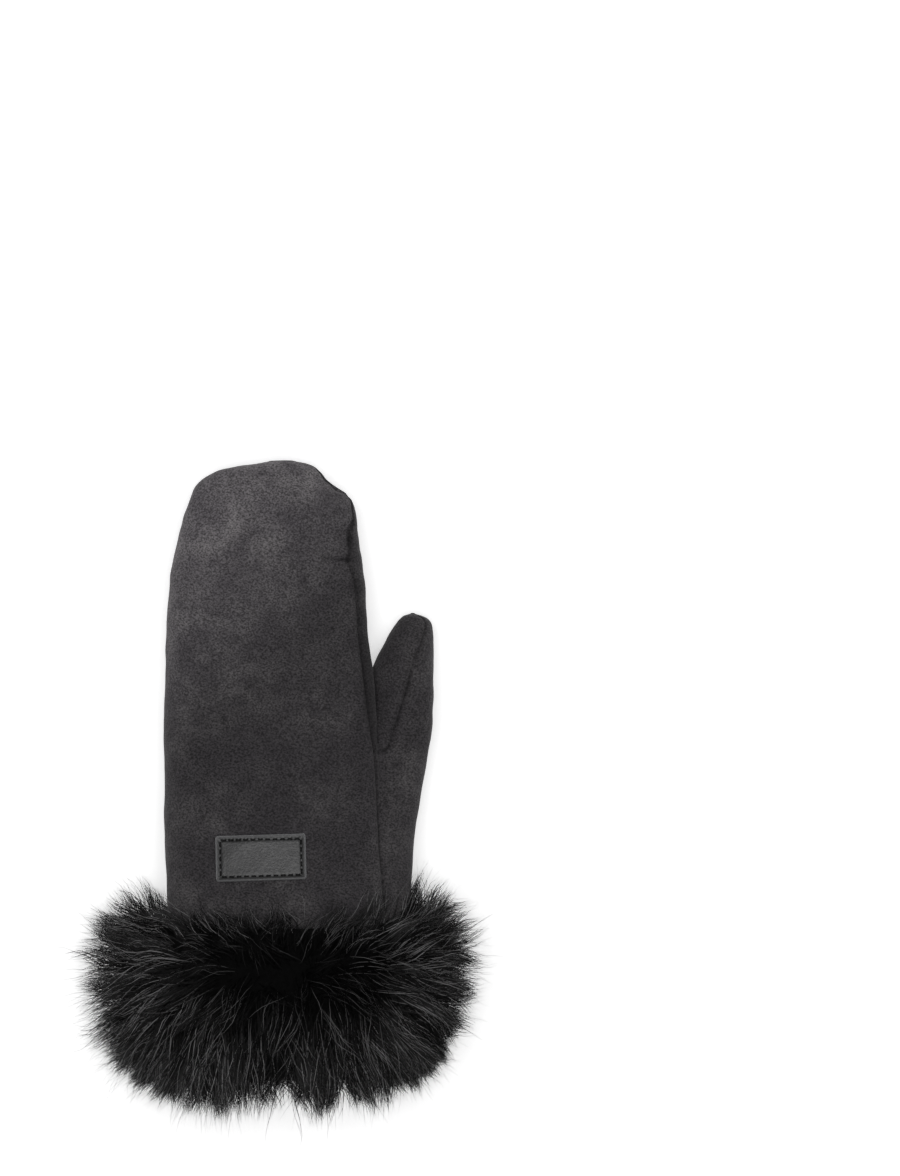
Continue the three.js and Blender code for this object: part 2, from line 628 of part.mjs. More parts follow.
/** The fur cuff: its leather tube and the fur's mass and locks, flat where they are pressed on the floor. */
function furCuff() {
  const tubeRing = (y, inset) => {
    const ring = [];
    for (let i = 0; i < furColumns; i++) {
      ring.push(onSection(wristSection(y), (2 * Math.PI * i) / furColumns, inset));
    }
    return ring;
  };
  const seatY = cuffSeamY - seamGap;
  const wristY = cuffSeamY - cuffTubeLength;
  const tube = loft([tubeRing(seatY, 0), tubeRing(wristY, 0)]);
  const mouth = loft([tubeRing(cuffSeamY + far, wall), tubeRing(-beyond, wall)]);
  const locks = [];
  for (const row of lockRows) {
    for (let i = 0; i < row.count; i++) {
      const angle = (2 * Math.PI * (i + 0.5 * scatter(i, row.along, 6))) / row.count;
      locks.push(lock(angle, row, i));
    }
  }
  const hairs = wasm.Manifold.union([tube, furBody(), ...locks]);
  const floor = block([-beyond, -beyond, -beyond], [beyond, beyond, 0]);
  const worn = hand(-seamGap).add(thumb(-seamGap));
  return mainBody(hairs.subtract(worn).subtract(mouth).subtract(floor));
}

/** A finish for the pieces of one material. */
function finish(name, color, roughness) {
  return new THREE.MeshStandardMaterial({ name, color, roughness, metalness: 0 });
}

// Colours and finishes as they look
const suede = finish('suede', 0x353334, 0.95);
const fur = finish('fur', 0x141414, 0.7);
const patchLeather = finish('patch_leather', 0x2b2b2b, 0.45);

const mitten = new THREE.Group();

/** Adds a solid to the mitten as a named mesh. */
function place(name, shape, material) {
  const mesh = shape.getMesh();
  const geometry = new THREE.BufferGeometry();
  geometry.setAttribute('position', new THREE.BufferAttribute(Float32Array.from(mesh.vertProperties), 3));
  geometry.setIndex(new THREE.BufferAttribute(Uint32Array.from(mesh.triVerts), 1));
  geometry.computeVertexNormals();
  const part = new THREE.Mesh(geometry, material);
  part.name = name;
  mitten.add(part);
}

place('back_panel', backPanel, suede);
place('palm_panel', palmPanel, suede);
place('thumb_panel', thumbPanel, suede);
place('fur_cuff', furCuff(), fur);
place('label', patch(), patchLeather);

export default mitten;
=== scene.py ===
"""A left-hand sheepskin mitten lying palm down, with a long-haired fur cuff and a sewn leather patch.

The suede panels, the fur and the patch are rebuilt finely round the CAD frame. Lengths are in metres.
"""

import math

import bpy
import numpy as np
from mathutils.kdtree import KDTree
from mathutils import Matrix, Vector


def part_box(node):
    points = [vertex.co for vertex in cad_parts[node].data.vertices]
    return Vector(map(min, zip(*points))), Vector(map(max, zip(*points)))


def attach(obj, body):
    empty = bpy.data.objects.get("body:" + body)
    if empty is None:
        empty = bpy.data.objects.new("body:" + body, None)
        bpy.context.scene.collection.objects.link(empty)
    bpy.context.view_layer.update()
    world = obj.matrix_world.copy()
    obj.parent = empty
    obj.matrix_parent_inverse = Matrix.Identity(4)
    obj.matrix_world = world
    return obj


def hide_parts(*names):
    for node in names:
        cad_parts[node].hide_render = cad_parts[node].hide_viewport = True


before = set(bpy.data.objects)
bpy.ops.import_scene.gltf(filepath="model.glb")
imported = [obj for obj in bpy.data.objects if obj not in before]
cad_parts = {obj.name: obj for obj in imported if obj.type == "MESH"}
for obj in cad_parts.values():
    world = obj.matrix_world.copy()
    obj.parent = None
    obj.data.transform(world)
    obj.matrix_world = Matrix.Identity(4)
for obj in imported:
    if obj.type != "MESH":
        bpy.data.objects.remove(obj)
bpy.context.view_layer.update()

bl_info = {
    "name": "Sheepskin mitten",
    "version": (1, 0, 0),
    "blender": (4, 5, 0),
    "location": "View3D > Sidebar > Mitten",
    "description": "Builds a suede mitten with a fur cuff round its CAD frame",
    "category": "Add Mesh",
}

MM = 0.001
SQUARE = ((-1, -1), (1, -1), (1, 1), (-1, 1))
HAND_LOW, HAND_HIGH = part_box("back_panel")
THUMB_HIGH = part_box("thumb_panel")[1]
PATCH_LOW, PATCH_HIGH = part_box("label")


def table(columns, *rows):
    """A table by columns, from its rows."""
    return {name: np.array(values) for name, values in zip(columns.split(), zip(*rows))}


# Sections of the hand, as in the CAD but finer at the tip. along is a share of the body's length from the
# cuff seam. left, right and seam are shares of the palm's width from the axis. base is a share of the
# cuff's lift, thick one of the body's height, and high is how far up its right side the section is widest.
BODY = table(
    "along left right seam base thick high",
    (0.000, 0.512, 0.580, 0.520, 1.00, 0.97, 0.60),
    (0.060, 0.516, 0.530, 0.506, 0.74, 1.00, 0.63),
    (0.120, 0.519, 0.500, 0.493, 0.46, 1.02, 0.66),
    (0.200, 0.528, 0.487, 0.478, 0.13, 1.03, 0.68),
    (0.262, 0.536, 0.482, 0.472, -0.10, 1.03, 0.68),
    (0.370, 0.532, 0.478, 0.460, -0.20, 1.02, 0.68),
    (0.460, 0.534, 0.466, 0.428, -0.22, 1.01, 0.68),
    (0.540, 0.535, 0.446, 0.404, -0.22, 1.00, 0.66),
    (0.620, 0.531, 0.426, 0.385, -0.22, 0.98, 0.64),
    (0.700, 0.517, 0.414, 0.372, -0.20, 0.95, 0.61),
    (0.740, 0.508, 0.407, 0.362, -0.19, 0.93, 0.60),
    (0.765, 0.502, 0.399, 0.347, -0.18, 0.91, 0.59),
    (0.792, 0.493, 0.394, 0.333, -0.16, 0.89, 0.58),
    (0.820, 0.477, 0.383, 0.340, -0.15, 0.87, 0.56),
    (0.850, 0.464, 0.378, 0.348, -0.12, 0.84, 0.55),
    (0.880, 0.450, 0.372, 0.356, -0.05, 0.80, 0.53),
    (0.912, 0.424, 0.350, 0.345, 0.03, 0.75, 0.51),
    (0.930, 0.409, 0.325, 0.323, 0.10, 0.70, 0.50),
    (0.944, 0.393, 0.277, 0.276, 0.17, 0.65, 0.50),
    (0.957, 0.367, 0.237, 0.236, 0.24, 0.60, 0.50),
    (0.966, 0.340, 0.217, 0.216, 0.31, 0.55, 0.50),
    (0.978, 0.290, 0.195, 0.194, 0.42, 0.48, 0.50),
    (0.987, 0.216, 0.166, 0.165, 0.55, 0.38, 0.50),
    (0.994, 0.115, 0.130, 0.129, 0.67, 0.29, 0.50),
    (1.000, 0.045, 0.080, 0.078, 0.84, 0.16, 0.50),
)

# Sections of the thumb, as in the CAD but finer at the tip. along is a share of the thumb's reach, middle one
# of the palm's width and half one of the thumb's width. upper and lower are where its seams run, from its
# left edge to its right.
THUMB = table(
    "along middle half upper lower base thick lean",
    (0.000, 0.176, 1.449, 0.80, 0.03, 1.00, 1.28, 0.00),
    (0.085, 0.191, 1.433, 0.78, 0.03, 0.74, 1.27, 0.00),
    (0.180, 0.210, 1.396, 0.75, 0.03, 0.46, 1.25, 0.00),
    (0.290, 0.231, 1.365, 0.72, 0.03, 0.13, 1.22, 0.00),
    (0.410, 0.263, 1.340, 0.67, 0.03, -0.12, 1.16, 0.08),
    (0.500, 0.302, 1.270, 0.62, 0.03, -0.18, 1.10, 0.20),
    (0.552, 0.342, 1.170, 0.58, 0.03, -0.20, 1.06, 0.32),
    (0.578, 0.384, 1.044, 0.71, 0.03, -0.20, 1.05, 0.40),
    (0.610, 0.445, 0.863, 0.68, 0.03, -0.20, 1.04, 0.44),
    (0.650, 0.513, 0.660, 0.60, 0.03, -0.20, 1.03, 0.42),
    (0.700, 0.553, 0.550, 0.57, 0.04, -0.20, 1.02, 0.34),
    (0.760, 0.574, 0.510, 0.60, 0.05, -0.19, 1.02, 0.20),
    (0.810, 0.583, 0.494, 0.64, 0.05, -0.17, 1.00, 0.10),
    (0.860, 0.598, 0.447, 0.68, 0.06, -0.12, 0.96, 0.04),
    (0.905, 0.615, 0.386, 0.77, 0.08, -0.02, 0.88, 0.00),
    (0.930, 0.624, 0.355, 0.81, 0.09, 0.06, 0.81, 0.00),
    (0.946, 0.629, 0.328, 0.85, 0.10, 0.12, 0.75, 0.00),
    (0.961, 0.634, 0.296, 0.88, 0.14, 0.21, 0.66, 0.00),
    (0.974, 0.637, 0.256, 0.90, 0.18, 0.31, 0.56, 0.00),
    (0.984, 0.637, 0.206, 0.90, 0.20, 0.42, 0.46, 0.00),
    (0.992, 0.633, 0.140, 0.86, 0.22, 0.53, 0.35, 0.00),
    (1.000, 0.632, 0.040, 0.80, 0.24, 0.68, 0.16, 0.00),
)

# Dents in the back, as in the CAD: across is a share of the palm's width, along one of the body's length,
# depth, reach and narrow are shares of the body's height, and turn is the fold's heading in degrees.
DENTS = table(
    "across along depth reach narrow turn",
    (-0.16, 0.55, 0.035, 0.75, 0.45, 100),
    (0.20, 0.70, 0.045, 0.55, 0.35, 60),
    (0.33, 0.845, 0.070, 0.22, 0.12, 20),
    (0.24, 0.940, 0.060, 0.25, 0.14, 130),
    (-0.08, 0.965, 0.050, 0.22, 0.12, 80),
    (-0.30, 0.35, 0.030, 0.60, 0.30, 110),
    (0.25, 0.42, 0.030, 0.60, 0.30, 75),
    (0.29, 0.792, 0.036, 0.12, 0.030, -4),
)

TOP_ROUND = 2.5  # how square the sections are, 2 for an ellipse: the hand's above and below, and the thumb's
BASE_ROUND = 2.2
THUMB_ROUND = 2.2
LEFT_WIDEST = 0.44  # how far up its left side the hand is widest, and how far up the thumb is
THUMB_WIDEST = 0.50
ULNAR_SEAM_ANGLE = math.radians(200)  # where on the section the back's seam runs, on the little finger's side
RADIAL_SEAM_FACING = math.radians(52)  # which way the cut through the wall faces at the thumb's side
ULNAR_SEAM_FACING = math.radians(196)  # and at the little finger's
PALM_SEAM = 0.114  # the palm's straight seam, as a share of its width from the axis
WEB_ALONG = 0.594  # the share of the thumb's reach at which it parts from the palm
WEB_BLEND = 0.025  # just below it, where the seams begin to part
THINNEST = 0.2 * MM  # no section is thinner than this above and below its widest line
CLEAR_OF = 1.6  # how far the cutting shapes go past the hand, in body heights
CUT_WALLS = 2.7  # how deep the back's cuts go in, in walls, but no more than this share of the hand
CUT_SHARE = 0.3
STEP_WALLS = 1.2  # how far up from the palm the thumb's seam steps to its side, in walls
CUT_STATIONS = 150  # how many sections the cutting shapes have
WAVE_RANGE = (0.7, 1.4)  # how much shorter and longer the waves of an uneven surface are

WORN_SEED = 11  # another number gives other dents and gathers
SEAM_REACH = 16 * MM  # past this a seam doesn't gather the suede
GATHER = 0.10 * MM  # how deep its gathers are, and how much deeper at the fingertip
TIP_GATHER = 0.28 * MM
TIP_FROM = 105 * MM  # where along Y they deepen, and over what length
TIP_OVER = 30 * MM
GATHER_FADE = 4.5 * MM  # how far from a seam they fade, and how long a wave of them is
GATHER_WAVE = 8 * MM
SAGS = ((0.24 * MM, 36 * MM), (0.07 * MM, 14 * MM))  # depth and width of the soft waves all over
THUMB_FROM = 50 * MM  # past this X lies the thumb's tip
TIP_BLUNT = 4 * MM  # how near a tip the seams grow shallow
PATCH_CALM = 5 * MM  # how far round the patch the suede lies flat, and how far it is pressed in under it
PATCH_SUNK = 0.25 * MM

PUCKER = ((20.5 * MM, 107.6 * MM), (32.5 * MM, 106.8 * MM))  # the sharp fold in the back, seen from above
PUCKER_WIDTH = 0.8 * MM  # half how wide its line of painted shade is
PUCKER_DARK = (0.35, 0.75)  # how dark that painted shade is at its two ends
ON_BACK = 20 * MM  # above this is the back, and below the next is the palm that lies flat
OFF_SOLE = 4 * MM
SEAM_DARK = 0.85  # how dark the painted shade on a seam's line is, and the rest goes to the soft painted shade beside it
SEAM_LINE = 0.7 * MM
SEAM_SHADE = 3 * MM
TIP_FADE = 20 * MM  # how far from the fingertip the seams' painted shade fades, and how much of it stays
TIP_DARK = 0.4
SIDE_SHADE = 0.62  # how light the palm is along the back's seam, as a share of the rest: a painted shade on that strip, which faces away from the key lamp
SIDE_STRIP = 8 * MM  # how wide that strip is
WEB_X = 47 * MM  # the strip ends where the thumb's web begins
WEB_FADE = 4 * MM
TIP_CROWD = 0.93  # the share of the length from which the sections lie closer together

# How the hair lies round the wrist, by the angle from +X over the top in degrees. reach is a share of the
# hair's length, swept how far it is combed towards the wrist, dense a share of the clumps there, and fringe
# how long the hair is that hangs over the hand, as a share of what it is elsewhere.
FUR_LIE = table(
    "angle reach swept dense fringe",
    (0, 0.90, -0.30, 1.1, 1.25),
    (40, 0.98, -0.42, 1.5, 1.25),
    (65, 1.00, -0.10, 1.1, 1.00),
    (90, 1.00, 0.00, 1.0, 0.80),
    (135, 1.06, 0.06, 1.0, 1.05),
    (180, 1.16, 0.10, 1.0, 1.10),
    (225, 1.10, 0.06, 0.6, 1.00),
    (270, 0.80, 0.00, 0.5, 1.00),
    (315, 0.90, -0.10, 0.6, 1.00),
    (360, 0.90, -0.30, 1.1, 1.25),
)
FRINGE_ALONG = 0.32  # the share of the cuff over which the fringe's length goes over into the rest

# How the hair stands along the cuff, from the seam to the wrist: the angle in degrees that it leans from
# straight out towards the wrist, under the wrist and beside it, its share of the hair's length, how far
# above the hide the visible hair comes out of the underfur, in the same shares, and how close its locks are.
FUR_STAND = table(
    "along under beside length bed crowd",
    (0.00, -56, -62, 0.72, 0.03, 2.0),
    (0.10, -34, -42, 0.78, 0.14, 1.3),
    (0.20, 0, -22, 0.84, 0.22, 0.9),
    (0.35, 34, -2, 0.88, 0.25, 0.8),
    (0.55, 52, 14, 0.90, 0.26, 0.8),
    (0.78, 60, 30, 0.88, 0.22, 1.3),
    (0.92, 68, 48, 0.84, 0.14, 2.4),
    (1.00, 84, 76, 0.50, 0.02, 3.2),
)
RIM_TURN = math.radians(32)  # how much further the hair on top turns down at the wrist's rim
RIM_FROM = 0.90  # the share of the cuff at which it begins to turn down
PARTING = ((-24 * MM, -74 * MM), (34 * MM, -80 * MM))  # from this line the hair on top is combed outwards
PARTING_WIDTH = 15 * MM
PARTING_SHADE = 15 * MM  # how far from the parting the hair's colour is darkened, a painted shade where it stands on end
PARTED_TILT = math.radians(26)  # how far the hair leans from upright at the parting, and how far elsewhere
COMBED_TILT = math.radians(68)
CORNER_TRIM = 0.62  # how much shorter the fur is at the wrist's two corners
BRIGHT_SHARE = 0.19  # the share of the strands painted lighter, a painted highlight on the black hair

LOCK_GRID = (14, 36)  # locks along the cuff and round it
LOCK_ALONG = (0.05, 0.95)  # where a lock stands in its cell of that grid, along and round
LOCK_AROUND = (-0.35, 0.35)
LOCK_LENGTHS = (0.86, 1.10)
LOCK_TURNS = (4.0, 7.5)  # how far round a lock's curl goes, in radians
LOCK_UPRIGHT = 0.85  # how much a lock rises, as a share of what it goes sideways
LOCK_SWEPT = 1.3  # how much the combing shows in a lock's heading
LOCK_FALL = (-0.06, -0.08, -0.24)  # how it sinks along Y, how much more so at the wrist, and down, as shares
LEAN_SPREAD = 9  # how much the locks differ in their lean, in degrees
HEADING_SPREAD = 0.16  # in their heading and their tilt, in radians, and how far they lean aside
TILT_SPREAD = 0.10
ASIDE_SPREAD = 0.10
CURL_SPREAD = 0.35  # how much the strands of a lock differ in their curl, in radians
CURL_FLAT = 0.7  # how high a curl is, as a share of its width
DARK_TONE = 0.12  # how light the lightest of the dark strands are
STRAY_SHARE = (0.03, 0.16)  # the share of stray strands at the parting and elsewhere
ROOT_SPREAD = (4.6 * MM, 3.6 * MM)  # how far a lock's roots lie apart, round the wrist and along the cuff
ROOT_SUNK = 0.6 * MM  # how deep in the underfur they are
WRIST_RADIUS = 50 * MM  # turns that spread round the wrist into an angle

# A strand that goes with its lock, and a stray one: how much of the roots' distance apart its tip keeps, how
# far the tips scatter, how much longer it is, and its shares of the curl and of the width.
IN_LOCK = {"apart": 0.24, "scatter": 1.3 * MM, "longer": 0, "curl": 1.0, "width": 1.0}
STRAY = {"apart": 0.9, "scatter": 4.5 * MM, "longer": 0.06, "curl": 0.8, "width": 0.75}

# From how much to how much the strands go
STRAND_RANGES = {
    "length": (0.80, 1.04),
    "fall": (0.7, 1.3),
    "curl": (0.5, 1.15),
    "width": (0.7, 1.35),
    "tone": (0.4, 1),
}

HIDE_COLUMNS = 128  # how fine the cuff's hide is round the wrist
RIM_STEPS = 7  # over its rims
UNDERFUR_GRID = (180, 64)  # how fine the underfur is, round the wrist and round its section
LUMPS = (1.1 * MM, 9 * MM)  # height and width of the lumps in the underfur, and of its ragged lower edge
RAGGED = (2.2 * MM, 8 * MM)

# The underfur's outline over the cuff: along is a share of the cuff's length, out one of the hair's length.
UNDERFUR = table(
    "along out",
    (0.02, 0.02),
    (-0.08, 0.10),
    (-0.04, 0.22),
    (0.12, 0.30),
    (0.32, 0.34),
    (0.62, 0.34),
    (0.90, 0.30),
    (1.10, 0.24),
    (1.14, 0.14),
    (0.98, 0.02),
)

PATCH_GRID = (118, 60)  # how fine the patch is, along and across
PATCH_CORNER = 1.3 * MM
PATCH_SEED = 3
EDGE_ROUND = 0.9 * MM  # how far in from its edge the patch is rounded
GROOVE = (0.12 * MM, 0.7 * MM)  # depth and width of the groove under the stitches
RIM = (0.22 * MM, 0.45 * MM)  # height and width of the raised rim outside them
HOLE = (0.30 * MM, 0.45 * MM)  # depth and width of a needle hole
UNEVEN = 0.04 * MM  # how high the leather's soft waves are
HIGHLIGHT_WIDTH = 0.5 * MM  # how far in from its edge the patch's colour is lightened, a painted highlight on its rim
STITCH_SUNK = 0.10 * MM  # how deep the middle of a stitch lies in the groove


def metres(name, description, default):
    """A length that can be changed in the panel."""
    return bpy.props.FloatProperty(name=name, description=description, default=default, unit="LENGTH")


class MittenForm(bpy.types.PropertyGroup):
    """Sizes of the suede hand."""

    body_length: metres("Body length", "Cuff seam to fingertip", HAND_HIGH[1] - HAND_LOW[1])
    palm_width: metres("Palm width", "Across the palm without the thumb", 96.4 * MM)
    body_height: metres("Body height", "Thickness of the palm as it lies", 39 * MM)
    cuff_lift: metres("Cuff lift", "Height of the cuff's underside", 12 * MM)
    wall: metres("Wall", "Suede with its clipped pile", 3 * MM)
    thumb_reach: metres("Thumb reach", "Cuff seam to thumb tip", THUMB_HIGH[1] - HAND_LOW[1])
    thumb_width: metres("Thumb width", "Width of the thumb", 29 * MM)
    thumb_height: metres("Thumb height", "Thickness of the thumb as it lies", 27 * MM)
    seam_gap: metres("Seam gap", "Air between two panels", 0.06 * MM)
    seam_depth: metres("Seam depth", "How far the leather rolls in at a seam", 1.1 * MM)
    seam_roll: metres("Seam roll", "How far from a seam the leather begins to roll in", 2.0 * MM)
    web_gap: metres("Web gap", "Air between the thumb and the palm", 0.8 * MM)


class MittenFur(bpy.types.PropertyGroup):
    """Sizes and colours of the fur cuff."""

    cuff_length: metres("Cuff length", "Hide under the fur, from the seam to the wrist's edge", 56 * MM)
    hair_length: metres("Hair length", "Length of the hair on top of the cuff", 37 * MM)
    hair_radius: metres("Strand radius", "Half a strand's width, which is a few real hairs'", 0.185 * MM)
    curl: metres("Curl", "How far a lock waves to its side", 3.4 * MM)
    strands: bpy.props.IntProperty(
        name="Strands",
        description="How many strands the whole cuff has",
        default=20400,
        min=100,
        max=21000,
    )
    # the lightest hair is the colour of the bright strands, a painted highlight
    colour: bpy.props.FloatVectorProperty(
        name="Fur",
        description="Colour of the lightest hair",
        default=(0.270, 0.267, 0.270),
        subtype="COLOR",
    )
    seed: bpy.props.IntProperty(
        name="Seed",
        description="Another number gives other locks",
        default=7,
    )


class MittenPatch(bpy.types.PropertyGroup):
    """Sizes of the leather patch and its stitches."""

    length: metres("Patch length", "Along the row of long stitches", 40.5 * MM)
    width: metres("Patch width", "Across the patch", 20.3 * MM)
    thickness: metres("Patch thickness", "Thickness of the patch", 1.6 * MM)
    stitch_pitch: metres("Stitch pitch", "From one stitch to the next", 3.3 * MM)
    stitch_inset: metres("Stitch inset", "From the patch's edge to its stitches", 2.1 * MM)
    thread_radius: metres("Thread radius", "Half the thread's width", 0.48 * MM)
    stitch_dip: metres("Stitch dip", "How deep a stitch's ends go into the leather", 0.6 * MM)
    turn: bpy.props.FloatProperty(
        name="Patch turn",
        description="Turn of the patch, its right end higher",
        default=math.radians(1.8),
        subtype="ANGLE",
    )
    stitch_share: bpy.props.FloatProperty(
        name="Stitch share",
        description="How much of the pitch a stitch takes up",
        default=0.62,
    )


def mix(start, end, share):
    """A value between two, by a share."""
    return start + (end - start) * share


def power(value, exponent):
    """A power that keeps the sign."""
    return np.sign(value) * np.abs(value) ** exponent


def read(rows, key, column, at):
    """A column of a table at any key, on a smooth curve through its rows that never overshoots them."""
    keys = rows[key]
    values = rows[column]
    steps = np.diff(keys)
    slopes = np.diff(values) / steps
    product = slopes[:-1] * slopes[1:]
    total = np.where(product > 0, slopes[:-1] + slopes[1:], 1)
    tangents = np.concatenate([[0], np.where(product > 0, 2 * product / total, 0), [0]])
    index = np.clip(np.searchsorted(keys, at, side="right") - 1, 0, len(steps) - 1)
    step = steps[index]
    t = np.clip((at - keys[index]) / step, 0, 1)
    start_part = (2 * t**3 - 3 * t**2 + 1) * values[index]
    end_part = (3 * t**2 - 2 * t**3) * values[index + 1]
    start_turn = (t**3 - 2 * t**2 + t) * step * tangents[index]
    end_turn = (t**3 - t**2) * step * tangents[index + 1]
    return start_part + end_part + start_turn + end_turn


def hand_section(form, along):
    """The lengths of the hand's sections, at shares of its length."""
    base = read(BODY, "along", "base", along) * form.cuff_lift
    return {
        "y": HAND_LOW[1] + along * form.body_length,
        "left": -read(BODY, "along", "left", along) * form.palm_width,
        "right": read(BODY, "along", "right", along) * form.palm_width,
        "seam": read(BODY, "along", "seam", along) * form.palm_width,
        "base": base,
        "top": base + read(BODY, "along", "thick", along) * form.body_height,
        "left_widest": LEFT_WIDEST,
        "right_widest": read(BODY, "along", "high", along),
        "top_round": TOP_ROUND,
        "base_round": BASE_ROUND,
        "lean": 0.0,
    }


def thumb_section(form, along):
    """The lengths of the thumb's sections, at shares of its reach."""
    base = read(THUMB, "along", "base", along) * form.cuff_lift
    middle = read(THUMB, "along", "middle", along) * form.palm_width
    half = read(THUMB, "along", "half", along) * form.thumb_width
    inner_seam = middle - half + 2 * half * read(THUMB, "along", "lower", along)
    return {
        "y": HAND_LOW[1] + along * form.thumb_reach,
        "left": middle - half,
        "right": middle + half,
        "upper": middle - half + 2 * half * read(THUMB, "along", "upper", along),
        "lower": np.where(along < WEB_ALONG, PALM_SEAM * form.palm_width, inner_seam),
        "base": base,
        "top": base + read(THUMB, "along", "thick", along) * form.thumb_height,
        "left_widest": THUMB_WIDEST,
        "right_widest": THUMB_WIDEST,
        "top_round": THUMB_ROUND,
        "base_round": THUMB_ROUND,
        "lean": read(THUMB, "along", "lean", along),
    }


def on_section(section, angle, inset=0.0):
    """Points on sections, at angles from the right edge over the top, inset from the outline."""
    above = np.sin(angle) >= 0
    squareness = 2 / np.where(above, section["top_round"], section["base_round"])
    across = power(np.cos(angle), squareness)
    rise = np.abs(np.sin(angle)) ** squareness
    middle = (section["left"] + section["right"]) / 2
    half = (section["right"] - section["left"]) / 2 - inset
    widest = mix(section["left_widest"], section["right_widest"], (1 + across) / 2)
    z = mix(section["base"], section["top"], widest)
    lid = np.maximum(section["top"] - inset, z + THINNEST)
    floor = np.minimum(section["base"] + inset, z - THINNEST)
    height = mix(z, np.where(above, lid, floor), rise)
    leaning = section["lean"] * (height - (section["base"] + section["top"]) / 2)
    x = middle + half * across + leaning
    return np.stack([x, section["y"] + 0 * x, np.maximum(max(inset, 0), height)], axis=-1)


def seam_angle(section):
    """The angle at which the back's edge meets a section."""
    half = (section["right"] - section["left"]) / 2
    across = (section["seam"] - (section["left"] + section["right"]) / 2) / half
    return np.arccos(np.minimum(0.995, across) ** (TOP_ROUND / 2))


def bell(distance, width, sharpness=2):
    """A share that falls from 1 to 0 over a distance of about a width."""
    return np.exp(-((distance / width) ** sharpness))


def off_line(places, ends):
    """How far along a straight line places lie, as a share of it, and their ways off it."""
    start, end = np.array(ends)
    line = end - start
    share = np.clip((places - start) @ line / (line @ line), 0, 1)
    return share, places - start - share[:, None] * line


def dent_at(form, x, y):
    """How far the dents press the back in at places."""
    depth = 0
    for i, turn in enumerate(np.radians(DENTS["turn"])):
        dx = x - DENTS["across"][i] * form.palm_width
        dy = y - (HAND_LOW[1] + DENTS["along"][i] * form.body_length)
        run = (dx * math.cos(turn) + dy * math.sin(turn)) / (DENTS["reach"][i] * form.body_height)
        side = (dy * math.cos(turn) - dx * math.sin(turn)) / (DENTS["narrow"][i] * form.body_height)
        depth = depth + DENTS["depth"][i] * form.body_height * np.exp(-(run**2) - side**2)
    return depth


def domed(rings, steps=4, rise=0.3 * MM):
    """Rings with a few smaller ones past the last, so that the tip is round."""
    last = rings[-1]
    centre = last.mean(axis=0)
    more = []
    for turn in math.pi / 2 * np.arange(1, steps + 1) / (steps + 1):
        ring = mix(centre, last, math.cos(turn))
        ring[:, 1] = centre[1] + rise * math.sin(turn)
        more.append(ring)
    return np.concatenate([rings, np.array(more)])


def shortened(rings, inset):
    """An inner skin's rings, with its tip drawn back by the wall and its open end carried past the cuff."""
    start = rings[0, 0, 1]
    tip = rings[-1, 0, 1]
    share = (rings[:, :, 1] - start) / (tip - start)
    rings[:, :, 1] = mix(start - inset, tip - inset, share)
    return rings


def hand_rings(form, stations, back_columns, palm_columns, inset=0.0):
    """Rings of the hand's outside or inside, with a column along each of its two seams."""
    section = {key: np.reshape(value, (-1, 1)) for key, value in hand_section(form, stations).items()}
    start = seam_angle(section)
    end = ULNAR_SEAM_ANGLE
    back = mix(start, end, np.linspace(0, 1, back_columns)[None, :])
    palm = mix(end, start + 2 * math.pi, np.linspace(0, 1, palm_columns)[None, 1:-1])
    rings = on_section(section, np.concatenate([back, palm], axis=1), inset)
    on_back = rings[:, 1 : back_columns - 1]
    on_back[:, :, 2] -= dent_at(form, on_back[:, :, 0], on_back[:, :, 1])
    return shortened(rings, inset) if inset > 0 else rings


def thumb_rings(form, stations, columns, inset=0.0):
    """Rings of the thumb's outside or inside, from within the hand to its tip."""
    section = {key: np.reshape(value, (-1, 1)) for key, value in thumb_section(form, stations).items()}
    angle = np.linspace(0, 2 * math.pi, columns, endpoint=False)[None, :]
    rings = on_section(section, angle, inset)
    return shortened(rings, inset) if inset > 0 else rings


def array_of(items, name, kind=np.float32):
    """Three values of each item of a mesh as the rows of an array."""
    flat = np.empty(len(items) * 3, kind)
    items.foreach_get(name, flat)
    return flat.reshape(-1, 3)


def mesh_from(name, points, faces, material_index=0):
    """A mesh from points and faces, turned so that it encloses a positive volume."""
    mesh = bpy.data.meshes.new(name)
    mesh.from_pydata(np.asarray(points).tolist(), [], faces)
    mesh.update()
    if volume(mesh) < 0:
        mesh.flip_normals()
    mesh.polygons.foreach_set("material_index", [material_index] * len(mesh.polygons))
    return mesh


def positions(mesh):
    """A mesh's points as an array."""
    return array_of(mesh.vertices, "co").astype(float)


def triangles(mesh):
    """A mesh's triangles as an array of point numbers."""
    mesh.calc_loop_triangles()
    return array_of(mesh.loop_triangles, "vertices", np.int32)


def volume(mesh):
    """The volume that a mesh encloses."""
    a, b, c = np.moveaxis(positions(mesh)[triangles(mesh)], 1, 0)
    return np.einsum("ij,ij->", a, np.cross(b, c)) / 6


def store(mesh, name, values):
    """Gives a mesh's points a number or a vector each, under a name."""
    vector = values.ndim == 2
    layer = mesh.attributes.new(name, "FLOAT_VECTOR" if vector else "FLOAT", "POINT")
    layer.data.foreach_set("vector" if vector else "value", values.astype(np.float32).ravel())


def bands(rings, closed=False):
    """Faces between each ring of points and the next, and between the last and the first if closed."""
    around, count = rings.shape[:2]
    faces = []
    for r in range(around if closed else around - 1):
        a, b = r * count, (r + 1) % around * count
        for i in range(count):
            j = (i + 1) % count
            faces.append((a + i, a + j, b + j, b + i))
    return faces


def loft(name, rings, material_index=0):
    """A closed mesh through rings, each end filled by a fan about its middle."""
    count = rings.shape[1]
    points = np.concatenate([rings.reshape(-1, 3), [rings[0].mean(axis=0)], [rings[-1].mean(axis=0)]])
    faces = bands(rings)
    last = (len(rings) - 1) * count
    for i in range(count):
        j = (i + 1) % count
        faces.append((len(points) - 2, j, i))
        faces.append((len(points) - 1, last + i, last + j))
    return mesh_from(name, points, faces, material_index)


